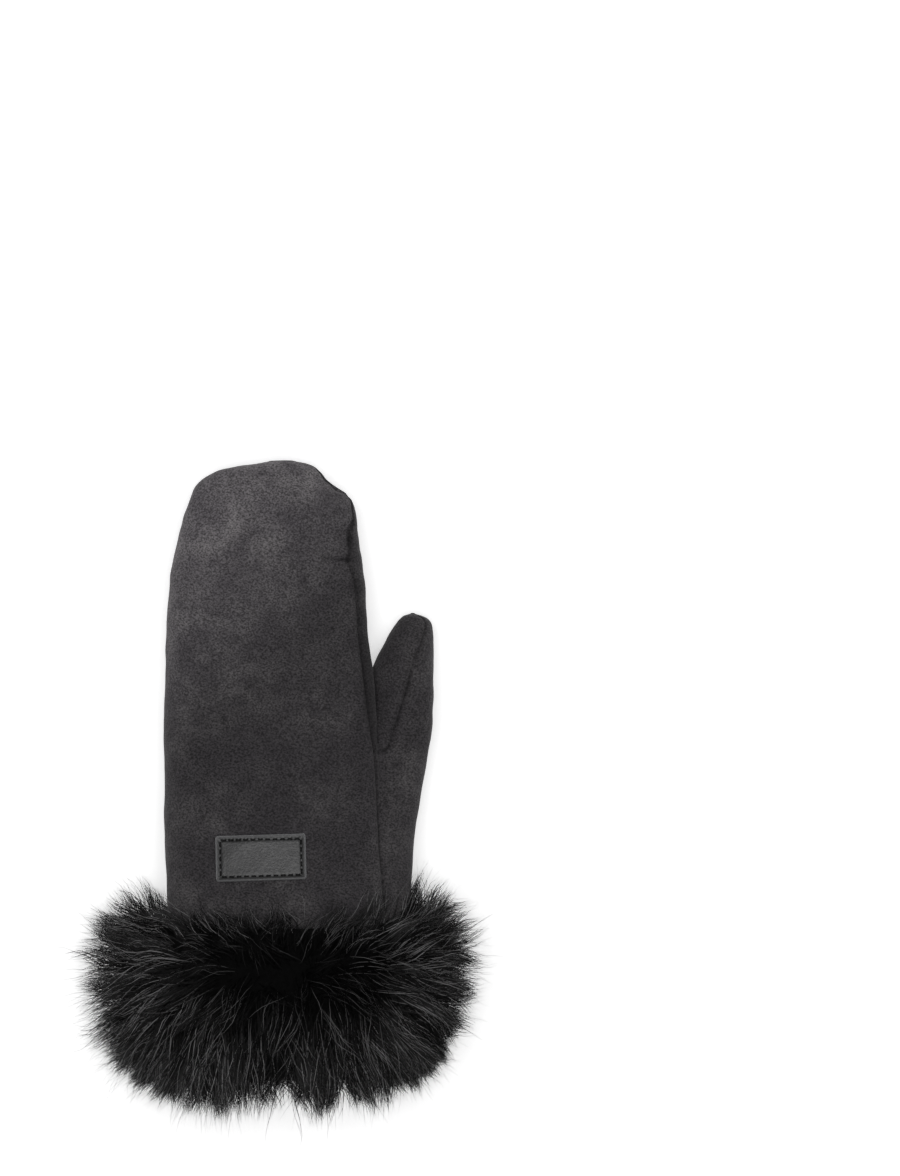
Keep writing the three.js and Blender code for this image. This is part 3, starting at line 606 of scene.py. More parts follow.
def prism(name, outlines):
    """A closed mesh through outlines of any shape across Y, each end one face."""
    around, count = outlines.shape[:2]
    faces = bands(outlines)
    faces.append(tuple(range(count))[::-1])
    faces.append(tuple(range((around - 1) * count, around * count)))
    return mesh_from(name, outlines.reshape(-1, 3), faces)


def block(name, low, high):
    """A box between two corners."""
    x, y, z = zip(low, high)
    ring = [[x[0], z[0]], [x[1], z[0]], [x[1], z[1]], [x[0], z[1]]]
    outlines = [[[point[0], side, point[1]] for point in ring] for side in y]
    return prism(name, np.array(outlines))


def put(name, data):
    """A new object in the scene."""
    piece = bpy.data.objects.new(name, data)
    bpy.context.scene.collection.objects.link(piece)
    return piece


def combined(operation, mesh, tool):
    """The mesh less, within or joined with another, by Blender's boolean."""
    base, other = put("base", mesh), put("tool", tool)
    cut = base.modifiers.new("cut", "BOOLEAN")
    cut.solver = "MANIFOLD"
    cut.operation = operation
    cut.object = other
    graph = bpy.context.evaluated_depsgraph_get()
    result = bpy.data.meshes.new_from_object(base.evaluated_get(graph))
    for piece in (base, other):
        bpy.data.objects.remove(piece)
    if not len(result.polygons):
        raise RuntimeError(f"{operation} of {mesh.name} and {tool.name} left nothing")
    return result


def main_body(mesh):
    """The mesh without the crumbs that a cut leaves."""
    faces = triangles(mesh)
    label = np.arange(len(mesh.vertices))
    while True:
        lowest = label[faces].min(axis=1)
        new = label.copy()
        for corner in range(3):
            np.minimum.at(new, faces[:, corner], lowest)
        new = new[new]
        if np.array_equal(new, label):
            break
        label = new
    names, sizes = np.unique(label[faces[:, 0]], return_counts=True)
    keep = label == names[sizes.argmax()]
    if keep.all():
        return mesh
    number = np.cumsum(keep) - 1
    kept = [face for face in mesh.polygons if keep[face.vertices[0]]]
    result = bpy.data.meshes.new(mesh.name)
    corners = [[int(number[v]) for v in face.vertices] for face in kept]
    result.from_pydata(positions(mesh)[keep].tolist(), [], corners)
    result.polygons.foreach_set("material_index", [face.material_index for face in kept])
    result.update()
    return result


def facing(angle):
    """A unit vector across the sections, at an angle from +X towards +Z."""
    return np.array([math.cos(angle), 0, math.sin(angle)])


def seam_ends(form, along):
    """Where the back's two seams lie on the sections, and how deep their cuts go."""
    section = hand_section(form, along)
    radial = on_section(section, seam_angle(section))
    ulnar = on_section(section, ULNAR_SEAM_ANGLE + 0 * along)
    deep = np.minimum(form.wall * CUT_WALLS, np.linalg.norm(radial - ulnar, axis=1) * CUT_SHARE)
    return radial, ulnar, deep[:, None]


def seam_ways():
    """The ways of the back's two cuts: out of the hand and up, at the thumb's side and at the other."""
    radial_out = facing(RADIAL_SEAM_FACING)
    ulnar_out = facing(ULNAR_SEAM_FACING)
    radial_up = np.array([-radial_out[2], 0, radial_out[0]])
    ulnar_up = np.array([ulnar_out[2], 0, -ulnar_out[0]])
    return radial_out, radial_up, ulnar_out, ulnar_up


def carried(outlines, distance):
    """Outlines with copies of the first and last one moved past both ends."""
    shift = np.array([0, distance, 0])
    return np.concatenate([outlines[:1] - shift, outlines, outlines[-1:] + shift])


def side_of_back(form, stations, above, gap):
    """The space of the back's panel, or of all that lies below its two seams."""
    radial, ulnar, deep = seam_ends(form, stations)
    radial_out, radial_up, ulnar_out, ulnar_up = seam_ways()
    side = gap / 2 if above else -gap / 2
    radial = radial + radial_up * side
    ulnar = ulnar + ulnar_up * side
    far = form.body_height * CLEAR_OF
    beyond = form.body_length + form.palm_width
    cut = [
        ulnar + ulnar_out * far,
        ulnar - ulnar_out * deep,
        radial - radial_out * deep,
        radial + radial_out * far,
    ]
    y = radial[:, 1]
    flat = np.full_like(y, beyond if above else -beyond)
    more = [(cut[3][:, 0], flat), (cut[0][:, 0], flat)]
    if not above:
        right = np.full_like(y, beyond)
        more = [(right, cut[3][:, 2]), (right, flat), more[1]]
    cut += [np.stack([x, y, z], axis=1) for x, z in more]
    return carried(np.stack(cut, axis=1), far)


def thumb_edge(form, along, gap=0.0):
    """The line that parts the thumb's panel from the palm's in each section, from below to above."""
    section = thumb_section(form, along)
    middle = (section["base"] + section["top"]) / 2
    upper = section["upper"] - gap
    lower = section["lower"] - gap
    step = np.maximum(0, section["base"]) + form.wall * STEP_WALLS + gap
    past_palm = section["lower"] > (PALM_SEAM + 0.0001) * form.palm_width
    free = past_palm | (along > WEB_ALONG - WEB_BLEND)
    inner = np.where(free, mix(lower, upper, 0.5), lower + form.wall)
    far = form.body_height * CLEAR_OF
    x = np.stack([lower, lower, inner, mix(inner, upper, 0.5), upper, upper], axis=1)
    top = section["top"]
    z = np.stack([np.full_like(step, -far), step, middle + gap, middle + gap, top, top + far], axis=1)
    y = np.repeat(section["y"][:, None], x.shape[1], axis=1)
    return np.stack([x, y, z], axis=2)


def beside_thumb(form, stations, gap):
    """The space of the thumb's panel."""
    edge = thumb_edge(form, stations, gap)
    right = edge[:, [-1, 0]].copy()
    right[:, :, 0] = form.body_length + form.palm_width
    return carried(np.concatenate([edge, right], axis=1), form.body_height * CLEAR_OF)


def waves(places, wavelength, rng, count=9):
    """Smooth random numbers of about unit size at places, as a sum of waves."""
    total = 0
    for _ in range(count):
        heading = rng.normal(size=3)
        heading *= rng.uniform(*WAVE_RANGE) / np.linalg.norm(heading)
        phase = rng.uniform(0, 2 * math.pi)
        total = total + np.sin(places @ heading * 2 * math.pi / wavelength + phase)
    return total * math.sqrt(2 / count)


def panel_sides(form, places):
    """Signed distances of places from the back's cut and from the thumb's cut, across their section."""
    from_cuff = places[:, 1] - HAND_LOW[1]
    radial, ulnar, _ = seam_ends(form, np.clip(from_cuff / form.body_length, 0, 1))
    _, radial_up, _, ulnar_up = seam_ways()
    middle = (radial[:, 0] + ulnar[:, 0]) / 2
    over = np.where(places[:, 0] > middle, (places - radial) @ radial_up, (places - ulnar) @ ulnar_up)
    edge = thumb_edge(form, np.clip(from_cuff / form.thumb_reach, 0, 1))
    x = edge[:, 0, 0].copy()
    for k in range(edge.shape[1] - 1):
        low, high = edge[:, k, 2], edge[:, k + 1, 2]
        share = (places[:, 2] - low) / np.maximum(high - low, 1e-9)
        x = np.where(places[:, 2] > low, mix(edge[:, k, 0], edge[:, k + 1, 0], np.clip(share, 0, 1)), x)
    past_thumb = places[:, 1] > HAND_LOW[1] + form.thumb_reach + form.wall
    return over, np.where(past_thumb, -1.0, places[:, 0] - x)


def seam_points(form, mesh):
    """Points along every seam, where the mesh's edges cross from one panel to another."""
    places = positions(mesh)
    over, beside = panel_sides(form, places)
    faces = triangles(mesh)
    edges = np.concatenate([faces[:, [0, 1]], faces[:, [1, 2]], faces[:, [2, 0]]])
    edges = edges[edges[:, 0] < edges[:, 1]]
    panel = np.where(over > 0, 0, np.where(beside > 0, 2, 1))
    edges = edges[panel[edges[:, 0]] != panel[edges[:, 1]]]
    from_back = (panel[edges] == 0).any(axis=1)
    side = np.where(from_back[:, None], over[edges], beside[edges])
    share = side[:, 0] / (side[:, 0] - side[:, 1])
    sure = (share >= 0) & (share <= 1)
    edges, share = edges[sure], share[sure]
    return mix(places[edges[:, 0]], places[edges[:, 1]], share[:, None])


def nearest(places, targets, reach):
    """For each place, the distance to the nearest target and that target, or reach where none is near."""
    tree = KDTree(len(targets))
    for i, target in enumerate(targets):
        tree.insert(target, i)
    tree.balance()
    distance = np.full(len(places), reach)
    closest = np.array(places)
    for i, place in enumerate(places):
        co, _, away = tree.find(place)
        if away < reach:
            distance[i] = away
            closest[i] = co
    return distance, closest


def near_patch(patch, places):
    """How close places are to the patch, from 0 away from it to 1 under it."""
    dx, dy = patch_place(patch, places[:, 0], places[:, 1])
    outside = np.maximum(np.abs(dx) - patch.length / 2, np.abs(dy) - patch.width / 2)
    above = places[:, 2] > ON_BACK
    return np.where(above, np.clip(1 - outside / PATCH_CALM, 0, 1), 0)


def worn(form, patch, mesh):
    """Rolls the leather in at its seams, gathers it along them and lets it sag in soft waves."""
    rng = np.random.default_rng(WORN_SEED)
    places = positions(mesh)
    outward = array_of(mesh.vertex_normals, "vector").astype(float)
    seams = seam_points(form, mesh)
    distance, closest = nearest(places, seams, SEAM_REACH)
    into = np.clip(1 - distance / form.seam_roll, 0, 1)
    end = HAND_LOW[1] + np.where(places[:, 0] > THUMB_FROM, form.thumb_reach, form.body_length)
    blunt = np.clip((end - places[:, 1]) / TIP_BLUNT, 0.25, 1)
    roll = form.seam_depth * blunt * (1 - np.sqrt(1 - into**2))
    towards_tip = np.clip((places[:, 1] - TIP_FROM) / TIP_OVER, 0, 1)
    fading = np.exp(-distance / GATHER_FADE) * (distance < SEAM_REACH)
    gather = GATHER + TIP_GATHER * towards_tip
    gathers = gather * fading * blunt * waves(closest, GATHER_WAVE, rng)
    sag = sum(depth * waves(places, width, rng) for depth, width in SAGS)
    under_patch = near_patch(patch, places)
    moved = (sag + gathers) * (1 - under_patch) - roll - PATCH_SUNK * under_patch
    places = places + outward * moved[:, None]
    places[:, 2] = np.maximum(places[:, 2], 0)
    mesh.vertices.foreach_set("co", places.astype(np.float32).ravel())
    mesh.update()
    return seams


def shade_creases(mesh, seams, beside_back):
    """Marks how near each point is to a seam or the pucker, for the painted shade in their creases, and which
    points lie on the palm's strip beside the back's seam, for a painted shade there.
    """
    places = positions(mesh)
    distance, _ = nearest(places, seams, 2 * SIDE_STRIP)
    painted_seam_shade = SEAM_DARK * bell(distance, SEAM_LINE) + (1 - SEAM_DARK) * np.exp(-distance / SEAM_SHADE)
    painted_seam_shade *= np.clip((HAND_HIGH[1] - places[:, 1]) / TIP_FADE, TIP_DARK, 1)
    share, off = off_line(places[:, :2], PUCKER)
    off = np.linalg.norm(off, axis=1)
    painted_fold_shade = mix(*PUCKER_DARK, share) * bell(off, PUCKER_WIDTH) * (places[:, 2] > ON_BACK)
    # a painted shade on the palm's strip along the back's seam, which faces away from the light
    strip = bell(distance, SIDE_STRIP, 4) * np.clip((WEB_X - places[:, 0]) / WEB_FADE, 0, 1)
    strip = strip * beside_back * (places[:, 2] > OFF_SOLE)
    store(mesh, "painted_crease_shade", np.maximum(painted_seam_shade, painted_fold_shade))
    store(mesh, "painted_side_shade", 1 - (1 - SIDE_SHADE) * strip)


def crowded(count, tip_count):
    """Stations from 0 to 1, which lie closer together towards a round tip."""
    body = np.linspace(0, TIP_CROWD, count, endpoint=False)
    turn = np.linspace(0, math.pi / 2, tip_count)
    return np.concatenate([body, mix(TIP_CROWD, 1, mix(turn / turn[-1], np.sin(turn), 0.7))])


def skin(form, fine, inset):
    """The closed outside or inside of hand and thumb together, with the thumb free above its web."""
    body_at = crowded(fine["rings"], fine["tip_rings"])
    thumb_at = crowded(fine["thumb_rings"], fine["tip_rings"])
    web = HAND_LOW[1] + WEB_ALONG * form.thumb_reach
    beyond = form.body_length + form.palm_width
    columns, material = fine["thumb_columns"], fine["material"]
    shape = hand_rings(form, body_at, fine["back_columns"], fine["palm_columns"], inset)
    hand = loft("hand", domed(shape), material)
    thumb = loft("thumb", domed(thumb_rings(form, thumb_at, columns, inset)), material)
    clear = loft("clear", thumb_rings(form, thumb_at, columns, -form.web_gap - inset), material)
    above_web = block("above_web", (-beyond, web, -beyond), (beyond, beyond, beyond))
    clear = combined("INTERSECT", clear, above_web)
    return combined("UNION", combined("DIFFERENCE", hand, clear), thumb)


# How fine the outer skin is and how fine the inner one
OUTSIDE = {
    "rings": 200,
    "tip_rings": 46,
    "back_columns": 104,
    "palm_columns": 84,
    "thumb_rings": 136,
    "thumb_columns": 124,
    "material": 0,
}
INSIDE = {
    "rings": 34,
    "tip_rings": 10,
    "back_columns": 30,
    "palm_columns": 30,
    "thumb_rings": 30,
    "thumb_columns": 28,
    "material": 1,
}


MATH = "ShaderNodeMath"
VECTOR_MATH = "ShaderNodeVectorMath"
NAMED = "GeometryNodeInputNamedAttribute"


def add_node(tree, kind, sockets=None, output=0, **settings):
    """Adds a node with its settings, and gives one of its outputs, or all of them if output is None.

    sockets holds a value or a link for each input, by the input's name or number.
    """
    node = tree.nodes.new(kind)
    for name, value in settings.items():
        setattr(node, name, value)
    for name, value in (sockets or {}).items():
        if isinstance(value, bpy.types.NodeSocket):
            tree.links.new(value, node.inputs[name])
        else:
            node.inputs[name].default_value = value
    return node.outputs if output is None else node.outputs[output]


def linear(code):
    """A colour for Blender's sockets from its sRGB hex code."""
    parts = [int(code[i : i + 2], 16) / 255 for i in (1, 3, 5)]
    return tuple(c / 12.92 if c <= 0.04045 else ((c + 0.055) / 1.055) ** 2.4 for c in parts) + (1.0,)


def ramp(tree, factor, low, high, dark, light):
    """A colour or number that runs from dark to light as the factor goes from low to high."""
    share = add_node(tree, "ShaderNodeMapRange", {"Value": factor, "From Min": low, "From Max": high})
    kind, start, end, output = ("FLOAT", 2, 3, 0) if isinstance(light, float) else ("RGBA", 6, 7, 2)
    return add_node(tree, "ShaderNodeMix", {0: share, start: dark, end: light}, output, data_type=kind)


def patches(tree, place, width, low, high, dark, light, **more):
    """A colour or number that runs from dark to light in cloudy patches of about a width."""
    clouds = add_node(tree, "ShaderNodeTexNoise", {"Vector": place, "Scale": 1 / width, **more})
    return ramp(tree, clouds, low, high, dark, light)


def relief(tree, place, width, depth, under=None, **more):
    """The surface's normal over soft lumps of a width and a depth, which may lie on another relief."""
    lumps = add_node(tree, "ShaderNodeTexNoise", {"Vector": place, "Scale": 1 / width, **more})
    sockets = {"Height": lumps, "Distance": depth}
    if under is not None:
        sockets["Normal"] = under
    return add_node(tree, "ShaderNodeBump", sockets)


def sheepskin_suede(tree, place):
    """Black sheepskin suede: the buffed flesh side, whose short pile lies lighter or darker in patches.

    Its colour is painted lighter towards the fingertip and the upper left, a painted highlight. The grain is
    drawn at 0.9 mm, coarser than it is, so that it shows.
    """
    parts = add_node(tree, "ShaderNodeSeparateXYZ", {0: place}, None)
    # a painted highlight: the colour grows up to 2.9 times lighter towards the fingertip and the upper left,
    # where the key lamp falls
    towards_highlight = add_node(tree, MATH, {0: parts["X"], 1: -0.9, 2: parts["Y"]}, operation="MULTIPLY_ADD")
    painted_highlight = ramp(tree, towards_highlight, 60 * MM, 150 * MM, 1.05, 2.9)
    broad = patches(tree, place, 30 * MM, 0.36, 0.64, linear("#2e2c2e"), linear("#3e3c3d"), Roughness=0.55)
    patchy = patches(tree, place, 9 * MM, 0.30, 0.60, linear("#2b292b"), broad, Detail=4.0, Roughness=0.6)
    turned = {"Vector": place, "Rotation": (0, 0, math.radians(25)), "Scale": (1, 1.2, 1)}
    wrinkled = add_node(tree, "ShaderNodeMapping", turned)
    grain = patches(tree, wrinkled, 0.9 * MM, 0.36, 0.64, 0.45, 1.65, Roughness=0.6)
    # painted shade on the palm's strip beside the back's seam
    painted_side_shade = add_node(tree, "ShaderNodeAttribute", output="Fac", attribute_name="painted_side_shade")
    light = add_node(tree, MATH, {0: painted_highlight, 1: grain}, operation="MULTIPLY")
    light = add_node(tree, MATH, {0: light, 1: painted_side_shade}, operation="MULTIPLY")
    colour = add_node(tree, VECTOR_MATH, {0: patchy, "Scale": light}, operation="SCALE")
    painted_crease_shade = add_node(tree, "ShaderNodeAttribute", output="Fac", attribute_name="painted_crease_shade")
    hollows = relief(tree, place, 6 * MM, 0.5 * MM, Detail=3.0)
    return {
        # painted shade: near black in the seams' creases and along the pucker
        "Base Color": ramp(tree, painted_crease_shade, 0.05, 0.9, colour, linear("#0b0a0b")),
        "Normal": relief(tree, place, 1.4 * MM, 0.45 * MM, hollows, Detail=3.0, Roughness=0.6),
        "Roughness": 0.95,
        "Specular IOR Level": 0.2,
        "Sheen Weight": 0.15,
        "Sheen Roughness": 0.55,
        "Sheen Tint": linear("#b9b6b8"),
    }


def clipped_wool_pile(tree, place):
    """Clipped wool pile inside the mitten: dull, curly and dark."""
    sockets = {"Vector": place, "Scale": 1 / (1.6 * MM), "Detail": 4.0, "Roughness": 0.7}
    curls = add_node(tree, "ShaderNodeTexNoise", sockets)
    return {
        "Base Color": ramp(tree, curls, 0.35, 0.65, linear("#1d1c1d"), linear("#4e4d4e")),
        "Normal": add_node(tree, "ShaderNodeBump", {"Height": curls, "Distance": 1.5 * MM}),
        "Roughness": 0.9,
    }


def long_dyed_hair(tree, place):
    """Long dyed sheep's hair: smooth glossy fibres, each a little lighter or darker than the next."""
    tone = add_node(tree, "ShaderNodeAttribute", output="Fac", attribute_name="tone")
    tip = add_node(tree, "ShaderNodeAttribute", output="Fac", attribute_name="tip")
    lightest = (*bpy.context.scene.mitten_fur.colour, 1.0)
    # tone lightens the bright strands, a painted highlight, and darkens the hair about the parting, a painted
    # shade
    colour = ramp(tree, tone, 0.0, 1.0, linear("#030303"), lightest)
    return {
        # painted shade: each strand darkens to near black towards its root, under the hair above it
        "Base Color": ramp(tree, tip, 0.1, 0.6, linear("#020202"), colour),
        "Specular IOR Level": ramp(tree, tone, 0.0, 0.6, 0.10, 0.5),
        "Roughness": 0.24,
        "IOR": 1.55,
    }


def dense_underfur(tree, place):
    """The dense wool at the hair's roots, which is all but black in its own shade."""
    sockets = {"Vector": place, "Scale": 1 / (2.2 * MM), "Detail": 4.0, "Roughness": 0.7}
    tufts = add_node(tree, "ShaderNodeTexNoise", sockets)
    return {
        "Base Color": ramp(tree, tufts, 0.3, 0.7, linear("#010101"), linear("#080808")),
        "Normal": add_node(tree, "ShaderNodeBump", {"Height": tufts, "Distance": 2 * MM}),
        "Roughness": 1.0,
        "Specular IOR Level": 0.1,
    }


def grained_cowhide(tree, place):
    """Grained black cowhide with a finish: pebbled, glossy where high, with a painted highlight along its
    edges.
    """
    pebbles = {"Vector": place, "Scale": 1 / (0.8 * MM), "Randomness": 1.0}
    cells = add_node(tree, "ShaderNodeTexVoronoi", pebbles, feature="SMOOTH_F1")
    painted_rim_highlight = add_node(tree, "ShaderNodeAttribute", output="Fac", attribute_name="painted_rim_highlight")
    body = patches(tree, place, 5 * MM, 0.35, 0.65, linear("#1e1e1f"), linear("#282829"), Detail=3.0)
    creases = relief(tree, place, 2.5 * MM, 0.04 * MM, Detail=3.0)
    grain = {"Height": cells, "Distance": 0.10 * MM, "Normal": creases}
    return {
        # a painted highlight on the rim, up to #868688
        "Base Color": ramp(tree, painted_rim_highlight, 0.0, 1.0, body, linear("#868688")),
        "Normal": add_node(tree, "ShaderNodeBump", grain),
        "Roughness": patches(tree, place, 1.5 * MM, 0.3, 0.7, 0.36, 0.48),
    }


def waxed_thread(tree, place):
    """Waxed polyester thread, twisted and slightly shiny."""
    return {
        "Base Color": patches(tree, place, 0.5 * MM, 0.3, 0.7, linear("#020202"), linear("#0a0a0a")),
        "Roughness": 0.6,
        "Specular IOR Level": 0.2,
    }


def white_paper(tree, place):
    """Background paper: matt, white and lit from behind a little, so that it has no grey edge."""
    return {
        "Base Color": linear("#f4f4f4"),
        "Roughness": 0.9,
        "Emission Color": linear("#ffffff"),
        "Emission Strength": 0.45,
    }


def finish(build):
    """The material that build describes, made once: build gives the shader's inputs at a piece's places."""
    name = build.__name__
    if name not in bpy.data.materials:
        material = bpy.data.materials.new(name)
        material.use_nodes = True
        tree = material.node_tree
        tree.nodes.clear()
        place = add_node(tree, "ShaderNodeTexCoord", output="Object")
        shader = add_node(tree, "ShaderNodeBsdfPrincipled", build(tree, place))
        add_node(tree, "ShaderNodeOutputMaterial", {"Surface": shader}, None)
    return bpy.data.materials[name]


def place_piece(name, mesh, finishes, slot, *replaced):
    """Puts a finished mesh into the scene as a piece of the mitten."""
    mesh.name = name
    mesh.materials.clear()
    for build in finishes:
        mesh.materials.append(finish(build))
    mesh.polygons.foreach_set("use_smooth", [True] * len(mesh.polygons))
    piece = put(name, mesh)
    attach(piece, "root")
    if replaced:
        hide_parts(*replaced)


class MITTEN_OT_suede(bpy.types.Operator):
    """Cuts the back, the palm and the thumb out of the hollow hand"""

    bl_idname = "mitten.suede"
    bl_label = "Suede panels"

    def execute(self, context):
        form = context.scene.mitten_form
        outside = skin(form, OUTSIDE, 0.0)
        seams = worn(form, context.scene.mitten_patch, outside)
        leather = combined("DIFFERENCE", outside, skin(form, INSIDE, form.wall))
        at = np.linspace(0, 1, CUT_STATIONS)
        above = prism("above", side_of_back(form, at, True, form.seam_gap))
        below = prism("below", side_of_back(form, at, False, form.seam_gap))
        thumb_space = prism("thumb_space", beside_thumb(form, at, 0.0))
        palm_cut = prism("palm_cut", beside_thumb(form, at, form.seam_gap))
        lower = combined("INTERSECT", leather, below)
        panels = {
            "back": combined("INTERSECT", leather, above),
            "thumb": combined("INTERSECT", lower, thumb_space),
            "palm": combined("DIFFERENCE", lower, palm_cut),
        }
        for name, mesh in panels.items():
            mesh = main_body(mesh)
            shade_creases(mesh, seams, name == "palm")
            place_piece(f"{name}_suede", mesh, (sheepskin_suede, clipped_wool_pile), "suede", f"{name}_panel")
        return {"FINISHED"}


def patch_place(patch, x, y):
    """Places on the mitten as run and side on the patch."""
    dx = x - (PATCH_LOW[0] + PATCH_HIGH[0]) / 2
    dy = y - (PATCH_LOW[1] + PATCH_HIGH[1]) / 2
    cos, sin = math.cos(patch.turn), math.sin(patch.turn)
    return dx * cos + dy * sin, dy * cos - dx * sin


def on_mitten(patch, run, side):
    """Places on the patch, by run and side, as x and y on the mitten."""
    cos, sin = math.cos(patch.turn), math.sin(patch.turn)
    x = (PATCH_LOW[0] + PATCH_HIGH[0]) / 2 + run * cos - side * sin
    y = (PATCH_LOW[1] + PATCH_HIGH[1]) / 2 + run * sin + side * cos
    return x, y


def back_height(form, x, y):
    """The height of the back's outer skin over places."""
    section = hand_section(form, (y - HAND_LOW[1]) / form.body_length)
    half = (section["right"] - section["left"]) / 2
    across = (x - (section["left"] + section["right"]) / 2) / half
    widest = mix(section["left_widest"], section["right_widest"], (1 + across) / 2)
    rise = (1 - np.abs(across) ** TOP_ROUND) ** (1 / TOP_ROUND)
    return mix(mix(section["base"], section["top"], widest), section["top"], rise) - dent_at(form, x, y)


def stitch_line(patch):
    """The middles of the patch's stitches as run and side, and their headings."""
    half = np.array([patch.length / 2 - patch.stitch_inset, patch.width / 2 - patch.stitch_inset])
    corners = [half * signs for signs in SQUARE]
    middles, headings = [], []
    for start, end in zip(corners, corners[1:] + corners[:1]):
        length = np.linalg.norm(end - start)
        count = round(length / patch.stitch_pitch)
        for k in range(count):
            middles.append(mix(start, end, (k + 0.5) / count))
            headings.append((end - start) / length)
    return np.array(middles), np.array(headings)


def slab(name, upper, lower):
    """A closed mesh between two grids of points."""
    columns, rows = upper.shape[:2]
    count = columns * rows
    faces = []
    for i in range(columns - 1):
        for j in range(rows - 1):
            a, b = i * rows + j, (i + 1) * rows + j
            faces.append((a, b, b + 1, a + 1))
            faces.append((count + a, count + a + 1, count + b + 1, count + b))
    rim = [i * rows for i in range(columns)]
    rim += [(columns - 1) * rows + j for j in range(1, rows)]
    rim += [i * rows + rows - 1 for i in range(columns - 2, -1, -1)]
    rim += [j for j in range(rows - 2, 0, -1)]
    for a, b in zip(rim, rim[1:] + rim[:1]):
        faces.append((b, a, count + a, count + b))
    return mesh_from(name, np.concatenate([upper.reshape(-1, 3), lower.reshape(-1, 3)]), faces)


def patch_grid(patch):
    """Places all over the patch as run and side, with round corners, and how far each is from its edge."""
    grid = np.meshgrid(*(np.linspace(-1, 1, count) for count in PATCH_GRID), indexing="ij")
    grid = [np.sin(share * math.pi / 2) * 0.25 + share * 0.75 for share in grid]
    halves = (patch.length / 2, patch.width / 2)
    places = [share * half for share, half in zip(grid, halves)]
    past = [np.maximum(np.abs(p) - (half - PATCH_CORNER), 0) for p, half in zip(places, halves)]
    away = np.hypot(*past)
    shrink = np.where(away > 1e-9, np.minimum(1, np.maximum(*past) / np.maximum(away, 1e-9)), 1)
    run, side = (p - np.sign(p) * q * (1 - shrink) for p, q in zip(places, past))
    past = [q * shrink for q in past]
    in_corner = (past[0] > 0) & (past[1] > 0)
    straight = np.minimum(halves[0] - np.abs(run), halves[1] - np.abs(side))
    return run, side, np.maximum(np.where(in_corner, PATCH_CORNER - np.hypot(*past), straight), 0)


def patch_mesh(form, patch):
    """The patch: rounded corners, a soft raised rim, and the leather drawn down between the stitches."""
    run, side, from_edge = patch_grid(patch)
    x, y = on_mitten(patch, run, side)
    seat = back_height(form, x, y) + form.seam_gap
    edge = np.sqrt(1 - np.clip(1 - from_edge / EDGE_ROUND, 0, 1) ** 2)
    top = patch.thickness * (0.35 + 0.65 * edge)
    top -= GROOVE[0] * bell(np.abs(from_edge - patch.stitch_inset), GROOVE[1])
    top += RIM[0] * bell(from_edge - 0.7 * MM, RIM[1])
    middles, headings = stitch_line(patch)
    reach = headings * patch.stitch_pitch * patch.stitch_share / 2
    for hole in np.concatenate([middles - reach, middles + reach]):
        top -= HOLE[0] * bell(np.hypot(run - hole[0], side - hole[1]), HOLE[1])
    flat = np.stack([run, side, 0 * run], axis=-1)
    uneven = waves(flat.reshape(-1, 3), 12 * MM, np.random.default_rng(PATCH_SEED)).reshape(run.shape)
    top += UNEVEN * uneven * np.clip(from_edge / MM, 0, 1)
    mesh = slab("patch", np.stack([x, y, seat + top], axis=-1), np.stack([x, y, seat], axis=-1))
    # a painted highlight: the patch's colour lightens along its edge
    painted_rim_highlight = bell(from_edge, HIGHLIGHT_WIDTH).ravel()
    store(mesh, "painted_rim_highlight", np.concatenate([painted_rim_highlight, 0 * painted_rim_highlight]))
    return mesh


class MITTEN_OT_patch(bpy.types.Operator):
    """Lays the leather patch on the back of the hand"""

    bl_idname = "mitten.patch"
    bl_label = "Leather patch"

    def execute(self, context):
        mesh = patch_mesh(context.scene.mitten_form, context.scene.mitten_patch)
        place_piece("patch_cowhide", mesh, (grained_cowhide,), "patch_leather", "label")
        return {"FINISHED"}


def new_tree(name, inputs):
    """A geometry tree that makes a mesh from points, by named sizes and with a material."""
    tree = bpy.data.node_groups.new(name, "GeometryNodeTree")
    tree.interface.new_socket("Points", in_out="INPUT", socket_type="NodeSocketGeometry")
    for label, value in inputs.items():
        kind = "NodeSocketInt" if isinstance(value, int) else "NodeSocketFloat"
        tree.interface.new_socket(label, in_out="INPUT", socket_type=kind).default_value = value
    tree.interface.new_socket("Material", in_out="INPUT", socket_type="NodeSocketMaterial")
    tree.interface.new_socket("Mesh", in_out="OUTPUT", socket_type="NodeSocketGeometry")
    return tree, add_node(tree, "NodeGroupInput", output=None)


def tube(tree, curve, sides, radius, width):
    """A closed tube round a curve, with its width at each place as a share of the radius."""
    ring = add_node(tree, "GeometryNodeCurvePrimitiveCircle", {"Resolution": sides, "Radius": radius})
    sockets = {"Curve": curve, "Profile Curve": ring, "Scale": width, "Fill Caps": True}
    return add_node(tree, "GeometryNodeCurveToMesh", sockets)


def finished_tree(tree, mesh, material):
    """Ends a tree with its smooth faces, its real instances and its material."""
    smooth = add_node(tree, "GeometryNodeSetShadeSmooth", {"Geometry": mesh})
    real = add_node(tree, "GeometryNodeRealizeInstances", {"Geometry": smooth})
    painted = add_node(tree, "GeometryNodeSetMaterial", {"Geometry": real, "Material": material})
    add_node(tree, "NodeGroupOutput", {"Mesh": painted}, None)
    return tree


